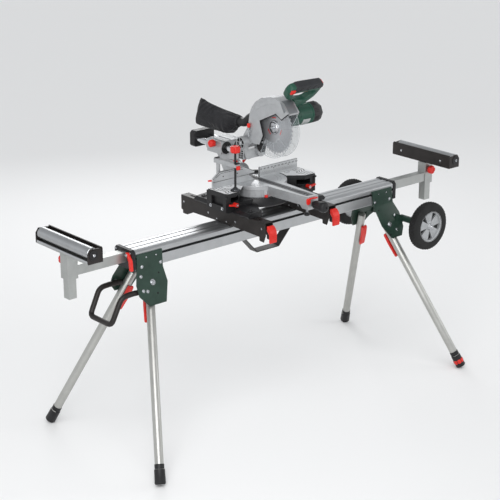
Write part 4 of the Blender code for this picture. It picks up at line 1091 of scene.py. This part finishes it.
def make_guard_cover():
    """The curved back of the blade housing, clear of the lower guard's sweep, and the dust port's collar."""
    def ring(reach):
        return [(BLADE_Y + reach * cos(radians(a)), BLADE_Z + reach * sin(radians(a)))
                for a in (-13.5, 2.6, 18.3, 33.0, 47.7, 67.7, 87.8, 96.0)]

    cover = Shape(SAW)
    cover.prism("cast", "X", ring(0.127) + ring(0.1256)[::-1], -0.0306, 0.0306)
    cover.prism("base_black", "X", ring(0.1256) + ring(0.1249)[::-1], -0.0276, 0.0276)
    edge = [(-0.118, 0.453), (-0.1, 0.452), (-0.025, 0.413), (0.0045, 0.364), (0.0035, 0.301)]
    for s in (-1, 1):
        cover.prism("cast", "X", ring(0.1264) + edge, *sorted((s * 0.0276, s * 0.0306)))
    cover.lathe("black_plastic", "Y", 0.0, 0.345, [(0.0184, 0.012), (0.0222, 0.012), (0.0222, 0.024),
                                                    (0.0206, 0.0262), (0.0184, 0.0262)], 40)
    for s in (-1, 1):
        cover.bolt("steel", (s * 0.022, 0.017, 0.308), (0, 1, -0.12), 0.0034, 0.0026)
    cover.piece("guard_cover", "head", bevel=0.0006)


def make_blade():
    """A carbide-tipped blade with slots, its flange and arbor bolt, and the three turning arrows."""
    disc = Shape(SAW)
    teeth, outline, r = 40, [], BLADE_RADIUS
    for i in range(teeth):
        a = 360 * i / teeth
        for da, reach in ((-8.4, r - 0.0072), (-7.2, r - 0.0086), (-5.6, r - 0.0076), (-4.0, r - 0.005),
                          (-2.6, r - 0.003), (-1.0, r - 0.001), (-0.1, r - 0.0008)):
            outline.append((BLADE_Y + reach * cos(radians(a + da)), BLADE_Z + reach * sin(radians(a + da))))
    inner = []
    for u, v in outline:
        out = Vector((u - BLADE_Y, v - BLADE_Z)).normalized() * 0.015
        inner.append((BLADE_Y + out.x, BLADE_Z + out.y))
    disc.band("blade", "X", outline, inner, -0.0009, 0.0009)
    for i in range(teeth):
        a = radians(360 * i / teeth)
        u, v = Vector((cos(a), sin(a))), Vector((-sin(a), cos(a)))
        middle = Vector((BLADE_Y, BLADE_Z))
        tip = [middle + u * ru - v * tv for ru, tv in ((r, 0.0), (r - 0.0007, 0.0022), (r - 0.004, 0.002),
                                                       (r - 0.005, 0.0))]
        disc.prism("steel", "X", [tuple(p) for p in tip], -0.0013, 0.0013)
    for k in range(4):
        a = 45 + 90 * k
        for reach in range(5):
            at = 0.074 + reach * 0.0042
            x, y = BLADE_Y + at * cos(radians(a + reach * 2.2)), BLADE_Z + at * sin(radians(a + reach * 2.2))
            disc.pin("ink", "X", x, y, 0.001, -0.0011, 0.0011, 10)
    disc.piece("blade_disc", "blade", replaces=["saw_blade"])
    flange = Shape(SAW)
    profile = [(0, -0.0165), (0.0058, -0.0165), (0.0066, -0.0158), (0.0066, -0.011), (0.011, -0.0105),
               (0.0185, -0.01), (0.0205, -0.0092), (0.0225, -0.0062), (0.027, -0.0052), (0.028, -0.004),
               (0.028, 0.005), (0.008, 0.006), (0.008, 0.054), (0, 0.054)]
    flange.lathe("steel", "X", BLADE_Y, BLADE_Z, profile, 64)
    flange.bolt("steel", (-0.0165, BLADE_Y, BLADE_Z), (-1, 0, 0), 0.0052, 0.0035)
    flange.piece("blade_flange", "blade", bevel=0.0004)
    arrows = Shape(SAW)
    for k in range(3):
        end = 92 + 120 * k
        arrows.strip("red", "X", arc(BLADE_Y, BLADE_Z, 0.04, end - 26, end, 10), 0.0034, -0.00135, -0.0008)
        a = radians(end)
        u, v = Vector((cos(a), sin(a))), Vector((-sin(a), cos(a)))
        middle = Vector((BLADE_Y, BLADE_Z))
        head = [middle + u * 0.0362, middle + u * 0.0438, middle + u * 0.04 + v * 0.0075]
        arrows.prism("red", "X", [tuple(p) for p in head], -0.00135, -0.0008)
    arrows.piece("blade_arrows", "blade")


def make_guard_edges():
    """The thickened edges and ribs of the clear lower guard, lighter and less clear than the guard itself:
    real edges with painted highlight.
    """
    shape = Shape(SAW)
    for s, reach in ((-1, 0.059), (1, 0.042)):
        x0, x1 = sorted((s * 0.0235, s * 0.0243))
        shape.strip("clear_edge_painted_highlight", "X", arc(BLADE_Y, BLADE_Z, reach, 143.5, 298.5, 40), 0.0016, x0, x1)
        shape.strip("clear_edge_painted_highlight", "X", arc(BLADE_Y, BLADE_Z, 0.1212, 142.5, 299.5, 60), 0.0022, x0, x1)
        for degree in (143.8, 172.0, 214.0, 256.0, 298.2):
            ends = [(BLADE_Y + r * cos(radians(degree)), BLADE_Z + r * sin(radians(degree)))
                    for r in (reach + 0.0012, 0.1196)]
            shape.strip("clear_edge_painted_highlight", "X", ends, 0.0012, x0, x1)
    shape.piece("guard_edges", "lower_guard")


def make_motor_details():
    shape = Shape(SAW)
    y, z = MOTOR_Y, MOTOR_Z
    for k in range(12):
        a = radians(30 * k + 15)
        u = Vector((0, cos(a), sin(a)))
        start = Vector((0, y, z)) + u * 0.0424
        shape.tube("green", [start + Vector((0.12, 0, 0)), start + Vector((0.166, 0, 0))], 0.0012, 8)
    for x, r in ((0.035, 0.044), (0.098, 0.043)):
        ring = [(0.04, x), (r - 0.0008, x), (r, x + 0.0008), (r, x + 0.0052), (r - 0.0008, x + 0.006),
                (0.04, x + 0.006)]
        shape.lathe("green", "X", y, z, ring, 64)
    shape.lathe("green", "X", y, z, [(0.041, 0.163), (0.0432, 0.1634), (0.0436, 0.165), (0.0436, 0.1703),
                                     (0.041, 0.1703)], 64)
    shape.piece("motor_ribs", "head")
    label = Shape(SAW)
    patch = []
    for h in (0.11, 0.15):
        row = []
        for r in (0.0419, 0.0427):
            for k in range(9):
                step = k if r < 0.042 else 8 - k
                a = radians(196 + 5.5 * step)
                row.append(Vector((h, y + r * cos(a), z + r * sin(a))))
        patch.append(row)
    label.loft("label", patch)
    label.piece("motor_label", "head", angle=30)
    cap = Shape(SAW)
    facets = 8

    def flats(angle):
        return 0.955 / max(cos((angle % (2 * pi / facets)) - pi / facets), 0.9)

    profile = [(0, 0.1704), (0.043, 0.1704), (0.0442, 0.1716), (0.0442, 0.202), (0.043, 0.2046),
               (0.0372, 0.2205),
               (0.035, 0.2226), (0, 0.2228)]
    cap.lathe("black_plastic", "X", y, z, profile, 64, flats)
    cap.piece("motor_cap_shell", "head", bevel=0.0012, replaces=["motor_cap"], angle=25)
    vents = Shape(SAW)
    for k in range(8):
        for j in (-1, 0, 1):
            a = radians(45 * k + 22.5 + j * 9)
            u, v = Vector((0, cos(a), sin(a))), Vector((0, -sin(a), cos(a)))
            corner = [Vector((x, y, z)) + u * 0.0424 + v * w for x, w in ((0.178, -0.0012), (0.196, -0.0012),
                                                                         (0.196, 0.0012), (0.178, 0.0012))]
            vents.add(corner + [p + u * 0.0006 for p in corner],
                      BLOCK_FACES, "ink")
    for k in range(5):
        w = -0.016 + k * 0.008
        vents.box("ink", 0.2226, 0.2231, y - 0.022, y + 0.022, z + w - 0.0014, z + w + 0.0014)
    vents.piece("motor_vents", "head")


def grip_point(x, w, h):
    """A point of the D-handle: x along the grip, w up its plane, h out of it towards the user."""
    return GRIP_AT + Vector((x, 0, 0)) + GRIP_UP * w + GRIP_OUT * h


def grip_ring(shape, kind, outer, inner, sections):
    """A ring between two outlines, its section set by (h, inset) pairs from one face to the other."""
    n = len(outer)
    layers = []
    for h, inset in sections:
        ring = []
        for i in range(n):
            a, b = Vector(outer[i]), Vector(inner[i])
            toward = (b - a).normalized() * inset
            ring.append((a + toward, b - toward))
        layers.append((h, ring))
    points, faces = [], []
    for h, ring in layers:
        points += [grip_point(p.x, p.y, h) for p, _ in ring]
        points += [grip_point(q.x, q.y, h) for _, q in ring]
    for row in range(len(layers) - 1):
        for part in (0, n):
            for i in range(n):
                j = (i + 1) % n
                a, b = row * 2 * n + part, (row + 1) * 2 * n + part
                faces.append((a + i, a + j, b + j, b + i))
    last = (len(layers) - 1) * 2 * n
    for base in (0, last):
        for i in range(n):
            j = (i + 1) % n
            faces.append((base + i, base + j, base + n + j, base + n + i))
    shape.add(points, faces, kind)


def resample(outline, count):
    """The same outline with evenly spaced points, starting at its first point."""
    points = [Vector(p) for p in outline]
    lengths = [(points[(i + 1) % len(points)] - p).length for i, p in enumerate(points)]
    total = sum(lengths)
    found = []
    for k in range(count):
        want = total * k / count
        i = 0
        while want > lengths[i]:
            want -= lengths[i]
            i += 1
        found.append(points[i].lerp(points[(i + 1) % len(points)], want / max(lengths[i], 1e-9)))
    return found


def around(outline, centre, count):
    """Where rays from the centre cross the outline, at even angles."""
    dense = resample(outline, 720)
    found = []
    for k in range(count):
        a = 2 * pi * k / count
        ray = Vector((cos(a), sin(a)))
        best = max(dense, key=lambda p: (p - centre).normalized().dot(ray))
        found.append(tuple(best))
    return found


def make_handle():
    outer = rounded([(0.034, 0.004), (0.088, 0.004), (0.136, 0.064), (0.1435, 0.112), (0.136, 0.1415),
                     (0.01, 0.1475), (-0.03, 0.1415), (-0.0375, 0.122), (-0.028, 0.074), (0.03,
                                                                                          0.066)], 0.016, 6)
    hole = rounded([(0.04, 0.056), (0.084, 0.05), (0.11, 0.074), (0.1155, 0.1045), (0.0, 0.1065),
                    (-0.002, 0.094)],
                   0.012, 6)
    centre = Vector((0.06, 0.084))
    outer, hole = around(outer, centre, 120), around(hole, centre, 120)
    shape = Shape(SAW)
    sections = [(-0.0162, 0.0055), (-0.015, 0.0028), (-0.011, 0.0006), (-0.004, 0.0), (0.004, 0.0),
                (0.0105, 0.0006), (0.0142, 0.0028), (0.0154, 0.0055)]
    grip_ring(shape, "green", outer, hole, sections)
    shape.piece("handle_shell", "head", angle=50, replaces=["handle_frame"])
    grip = Shape(SAW)
    bar = rounded([(-0.012, 0.1182), (0.142, 0.1182), (0.1445, 0.1215), (0.137, 0.1432), (0.01, 0.1492),
                   (-0.012, 0.1462)], 0.01, 6)
    middle = Vector((0.065, 0.13))
    rows = []
    for h, scale in ((-0.0172, 0.8), (-0.016, 0.93), (-0.012, 1.0), (0.0, 1.004), (0.012, 1.0),
                     (0.0156, 0.95),
                     (0.017, 0.84)):
        row = []
        for u, v in bar:
            shift = Vector((u, v)) - middle
            at = middle + Vector((shift.x * (0.5 + scale / 2), shift.y * scale))
            row.append(grip_point(at.x, at.y, h))
        rows.append(row)
    grip.loft("charcoal", rows)
    grip.piece("soft_grip", "head", angle=55)
    marks = Shape(SAW)
    for x in (0.02, 0.055, 0.09):
        path = [grip_point(x + dx, w, 0.0171) for dx, w in ((0.006, 0.119), (-0.001, 0.124), (0.0, 0.134),
                                                            (0.008, 0.141))]
        marks.tube("ink", smooth_path(path), 0.0008, 8)
    for x, w in ((0.008, 0.1225), (0.064, 0.1215), (0.118, 0.1225)):
        marks.bolt("ink", grip_point(x, w, 0.017), GRIP_OUT, 0.0032, 0.0006)
    marks.piece("grip_grooves", "head")
    red = Shape(SAW)
    for k in range(3):
        x = -0.0268 + k * 0.0056
        path = [grip_point(x, 0.1175, 0.0212), grip_point(x + 0.001, 0.124, 0.0218),
                grip_point(x, 0.1305, 0.0212)]
        red.tube("red", smooth_path(path), 0.0011, 8)
    red.piece("lock_off_ridges", "lock_off_button")
    end = Shape(SAW)
    end.loft("red", [[grip_point(x, w, h) for x, w in rounded([(0.136, 0.118), (0.1455, 0.119),
                                                               (0.1405, 0.14),
                                                               (0.133, 0.141)], 0.004)] for h in (-0.01,
                                                                                                  0.01)])
    end.piece("grip_end_button", "head", bevel=0.0015)


def make_mitre_handle():
    shape = Shape(SAW)
    profile = [(0, -0.3356), (0.01, -0.3356), (0.0118, -0.337), (0.0122, -0.341), (0.015, -0.344),
               (0.0172, -0.349), (0.018, -0.356), (0.0186, -0.366), (0.02, -0.378), (0.0216, -0.387),
               (0.0224, -0.394), (0.0218, -0.401), (0.0196, -0.406), (0.016, -0.409), (0.01, -0.4105),
               (0.005, -0.4108), (0.0046, -0.408), (0, -0.4075)]

    def lobes(angle):
        return 1.0 - 0.055 * max(0.0, cos(4 * angle)) ** 3

    shape.lathe("black_plastic", "Y", 0, 0.058, profile, 96, lobes)
    for k in range(4):
        a = radians(90 * k + 45)
        u = Vector((cos(a), 0, sin(a)))
        v = Vector((-sin(a), 0, cos(a)))
        middle = Vector((0, 0, 0.058))
        path = []
        for y, r, w in ((-0.352, 0.0176, -0.0042), (-0.352, 0.0176, 0.0042), (-0.392, 0.0221, 0.0052),
                        (-0.392, 0.0221, -0.0052), (-0.352, 0.0176, -0.0042)):
            path.append(middle + u * (r + 0.0002) * 0.985 + v * w + Vector((0, y, 0)))
        shape.tube("charcoal", path, 0.0007, 8)
    shape.piece("mitre_grip", "mitre_handle", replaces=["mitre_handle"], angle=50)


def make_mitre_latch():
    """A thumb paddle that hangs on the left of the arm's nose, and its arm over the handle's neck."""
    shape = Shape(SAW)
    arm = [(-0.04, -0.3395), (-0.037, -0.344), (-0.006, -0.343), (0.0, -0.348), (0.013, -0.348),
           (0.0165, -0.343), (0.012, -0.3368), (-0.038, -0.3364)]
    shape.prism("red", "Z", rounded(arm, 0.0012), 0.0816, 0.0868)
    paddle = [(-0.04, 0.084), (-0.02, 0.084), (-0.0205, 0.068), (-0.025, 0.062), (-0.034, 0.06),
              (-0.039, 0.065)]
    shape.prism("red", "Y", rounded(paddle, 0.002), -0.3432, -0.3366)
    shape.piece("mitre_latch_paddle", "mitre_latch", bevel=0.0012, replaces=["mitre_latch"])


def make_dust_bag():
    """A sewn cloth bag, lofted, then blown up a little by a cloth simulation."""
    rows = [(0.1145, 0.0205, 0.019, 0.29, 0.3315), (0.122, 0.0225, 0.019, 0.288, 0.333),
            (0.138, 0.029, 0.017, 0.276, 0.3365), (0.154, 0.035, 0.015, 0.26, 0.34),
            (0.168, 0.0385, 0.0135, 0.2515, 0.343), (0.2, 0.04, 0.012, 0.25, 0.347),
            (0.25, 0.0405, 0.011, 0.25, 0.352), (0.3, 0.0405, 0.01, 0.25, 0.358),
            (0.345, 0.04, 0.009, 0.2505, 0.364), (0.362, 0.0385, 0.006, 0.252, 0.369),
            (0.368, 0.035, 0.004, 0.255, 0.366)]
    sections = []
    for y, wide, narrow, low, high in rows:
        ring = []
        for i in range(48):
            a = 2 * pi * i / 48
            c, s = cos(a), sin(a)
            c = abs(c) ** 0.62 * (1 if c > 0 else -1)
            s = abs(s) ** 0.62 * (1 if s > 0 else -1)
            share = (s + 1) / 2
            ring.append(Vector(((wide + (narrow - wide) * share ** 1.3) * c, y, low + (high - low) * share)))
        sections.append(ring)
    shape = Shape(SAW)
    shape.loft("cloth", sections)
    mesh = bpy.data.meshes.new("dust_bag_cloth")
    shape.mesh.to_mesh(mesh)
    shape.mesh.free()
    bag = bpy.data.objects.new("dust_bag_cloth", mesh)
    bpy.context.scene.collection.objects.link(bag)
    remesh = bag.modifiers.new("Remesh", "REMESH")
    remesh.mode = "VOXEL"
    remesh.voxel_size = 0.004
    bake(bag)
    inflate(bag, 0.005)
    crease(bag)
    mesh = bag.data
    mesh.materials.clear()
    mesh.materials.append(FINISH["cloth"])
    for face in mesh.polygons:
        face.use_smooth = True
    seams = Shape(SAW)
    corners = [[], [], []]
    for y, wide, narrow, low, high in rows[2:-1]:
        for path, x, z in zip(corners, (0.0, -wide, wide), (high, low, low)):
            path.append(on_cloth(bag, (x, y, z)))
    y, wide, narrow, low, high = rows[-2]
    end = [(wide, low), (wide * 0.98, low + 0.03), (wide * 0.82, low + 0.06), (wide * 0.58, low + 0.085),
           (narrow * 1.6, high - 0.008)]
    ring = [(0.0, high)] + [(-x, z) for x, z in reversed(end)] + [(0.0, low)] + end
    loop = [on_cloth(bag, (x, y + 0.003, z)) for x, z in ring]
    for path in corners:
        seams.tube("cloth", smooth_path(path), 0.0011, 8)
    seams.tube("cloth", smooth_path(loop + loop[:1]), 0.0013, 8)
    step = bag.modifiers.new("Subdivision", "SUBSURF")
    step.levels = step.render_levels = 1
    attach(bag, "head")
    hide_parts("dust_bag")
    seams.piece("bag_seam", "head")
    collar = Shape(SAW)
    ring = [(0.0188, 0.11), (0.0215, 0.1105), (0.0232, 0.113), (0.0222, 0.116), (0.024, 0.1185),
            (0.0236, 0.122),
            (0.0205, 0.1225)]
    collar.lathe("cloth", "Y", 0, 0.311, ring, 48, lambda a: 1 + 0.012 * cos(14 * a))
    collar.piece("bag_cuff", "head")


def on_cloth(bag, point):
    """The nearest place on the bag to a point, in the saw's frame."""
    _, place, normal, _ = bag.closest_point_on_mesh(SAW + Vector(point))
    return place + normal * 0.0004 - SAW


def bake(obj):
    """Replace a mesh by what its modifiers make of it."""
    graph = bpy.context.evaluated_depsgraph_get()
    graph.update()
    made = bpy.data.meshes.new_from_object(obj.evaluated_get(graph))
    obj.modifiers.clear()
    obj.data = made


def inflate(obj, most):
    """Blow the cloth up from inside, with no point moving further than most."""
    before = [v.co.copy() for v in obj.data.vertices]
    cloth = obj.modifiers.new("Cloth", "CLOTH")
    cloth.settings.quality = 5
    cloth.settings.mass = 0.25
    cloth.settings.use_pressure = True
    cloth.settings.uniform_pressure_force = 4.0
    cloth.settings.tension_stiffness = 15
    cloth.settings.bending_stiffness = 0.6
    cloth.settings.effector_weights.gravity = 0.0
    scene = bpy.context.scene
    for number in range(1, 21):
        scene.frame_set(number)
    bake(obj)
    scene.frame_set(1)
    for vertex, start in zip(obj.data.vertices, before):
        move = vertex.co - start
        if move.length > most:
            vertex.co = start + move.normalized() * most


def crease(obj):
    """Pleats from the cuff, drag lines from the corners, and slack folds along the bottom."""
    for vertex in obj.data.vertices:
        at = vertex.co - SAW
        along = at.y - 0.114
        angle = atan2(at.x, at.z - 0.305)
        near = max(0.0, 1 - along / 0.075)
        fold = 0.003 * near * (1 - near ** 4) * 2 * sin(11 * angle + 2.0 * sin(3 * angle))
        slack = max(0.0, (0.305 - at.z) / 0.05) * max(0.0, 1 - abs(at.y - 0.175) / 0.08)
        fold += 0.0032 * slack * sin(190 * at.y - 70 * at.z)
        drag = max(0.0, (at.y - 0.22) / 0.15) * max(0.0, (at.z - 0.3) / 0.06)
        fold += 0.0016 * drag * sin(230 * (at.y + 0.8 * at.z))
        place = Vector((at.x * 16, at.y * 9, at.z * 26))
        fold += 0.0034 * (abs(noise.noise(place)) - 0.22) * min(1.0, max(0.0, along / 0.03))
        out = Vector((at.x, 0, at.z - 0.3))
        if out.length > 1e-6:
            vertex.co += out.normalized() * fold


def make_saw_details():
    dress_saw()
    make_turntable_details()
    make_fence_details()
    for side in (-1, 1):
        make_side_table_details(side)
    make_clamp_details()
    make_arm_and_rail_details()
    make_bracket_details()
    make_head_details()
    make_guard_cover()
    make_blade()
    make_guard_edges()
    make_motor_details()
    make_handle()
    make_mitre_handle()
    make_mitre_latch()
    make_dust_bag()


# ---------------------------------------------------------------- scene

CAMERA_ANGLES = radians(-41), radians(19)
CAMERA_TARGET = (-0.051, 0.044, 0.665)
CAMERA_DISTANCE = 6.15


def make_camera():
    """The photograph's direction: from the front left, a little above."""
    azimuth, elevation = CAMERA_ANGLES
    back = Vector((sin(azimuth) * cos(elevation), -cos(azimuth) * cos(elevation), sin(elevation)))
    camera = bpy.data.cameras.new("camera")
    camera.lens = 105
    obj = bpy.data.objects.new("camera", camera)
    bpy.context.scene.collection.objects.link(obj)
    target = Vector(CAMERA_TARGET)
    obj.location = target + back * CAMERA_DISTANCE
    obj.rotation_mode = "QUATERNION"
    obj.rotation_quaternion = (-back).to_track_quat("-Z", "Y")
    bpy.context.scene.camera = obj


def area_light(name, at, aim, size, power):
    light = bpy.data.lights.new(name, "AREA")
    light.shape = "RECTANGLE"
    light.size, light.size_y = size
    light.energy = power
    obj = bpy.data.objects.new(name, light)
    bpy.context.scene.collection.objects.link(obj)
    obj.location = at
    obj.rotation_mode = "QUATERNION"
    obj.rotation_quaternion = (Vector(aim) - Vector(at)).to_track_quat("-Z", "Y")


FLOOR_Z, FLOOR_HALF = -0.0005, 40.0


def make_studio():
    world = bpy.data.worlds.new("studio")
    world.use_nodes = True
    nodes, links = world.node_tree.nodes, world.node_tree.links
    background = nodes["Background"]
    background.inputs["Color"].default_value = (0.96, 0.98, 1.0, 1.0)
    split = nodes.new("ShaderNodeSeparateXYZ")
    fade = nodes.new("ShaderNodeMapRange")
    fade.inputs["From Min"].default_value = 0.1
    fade.inputs["From Max"].default_value = 0.85
    fade.inputs["To Min"].default_value = 0.95
    fade.inputs["To Max"].default_value = 0.38
    links.new(nodes.new("ShaderNodeTexCoord").outputs["Generated"], split.inputs["Vector"])
    links.new(split.outputs["Z"], fade.inputs["Value"])
    links.new(fade.outputs["Result"], background.inputs["Strength"])
    bpy.context.scene.world = world
    sun = bpy.data.lights.new("soft_key", "SUN")
    sun.energy, sun.angle = 1.15, radians(50)
    obj = bpy.data.objects.new("soft_key", sun)
    bpy.context.scene.collection.objects.link(obj)
    obj.rotation_mode = "QUATERNION"
    obj.rotation_quaternion = Vector((0.45, 0.55, -1.0)).to_track_quat("-Z", "Y")
    area_light("left", (-2.4, -2.0, 1.9), (0, 0, 0.8), (1.2, 1.8), 34)
    area_light("fill", (3.0, -2.2, 1.8), (0, 0, 0.8), (1.4, 1.4), 14)
    area_light("rim", (1.5, 3.0, 2.2), (0, 0, 0.9), (1.6, 1.2), 24)
    floor = bpy.data.meshes.new("floor")
    r = FLOOR_HALF
    floor.from_pydata([(x, y, FLOOR_Z) for x, y in ((-r, -r), (r, -r), (r, r), (-r, r))], [],
                      [(0, 1, 2, 3)])
    obj = bpy.data.objects.new("floor", floor)
    bpy.context.scene.collection.objects.link(obj)
    pale = bpy.data.materials.new("pale_floor")
    pale.use_nodes = True
    shader = pale.node_tree.nodes["Principled BSDF"]
    shader.inputs["Base Color"].default_value = (0.86, 0.86, 0.86, 1.0)
    shader.inputs["Roughness"].default_value = 0.7
    floor.materials.append(pale)
    bpy.context.scene.view_settings.view_transform = "Standard"


make_stand_details()
make_saw_details()
make_camera()
make_studio()
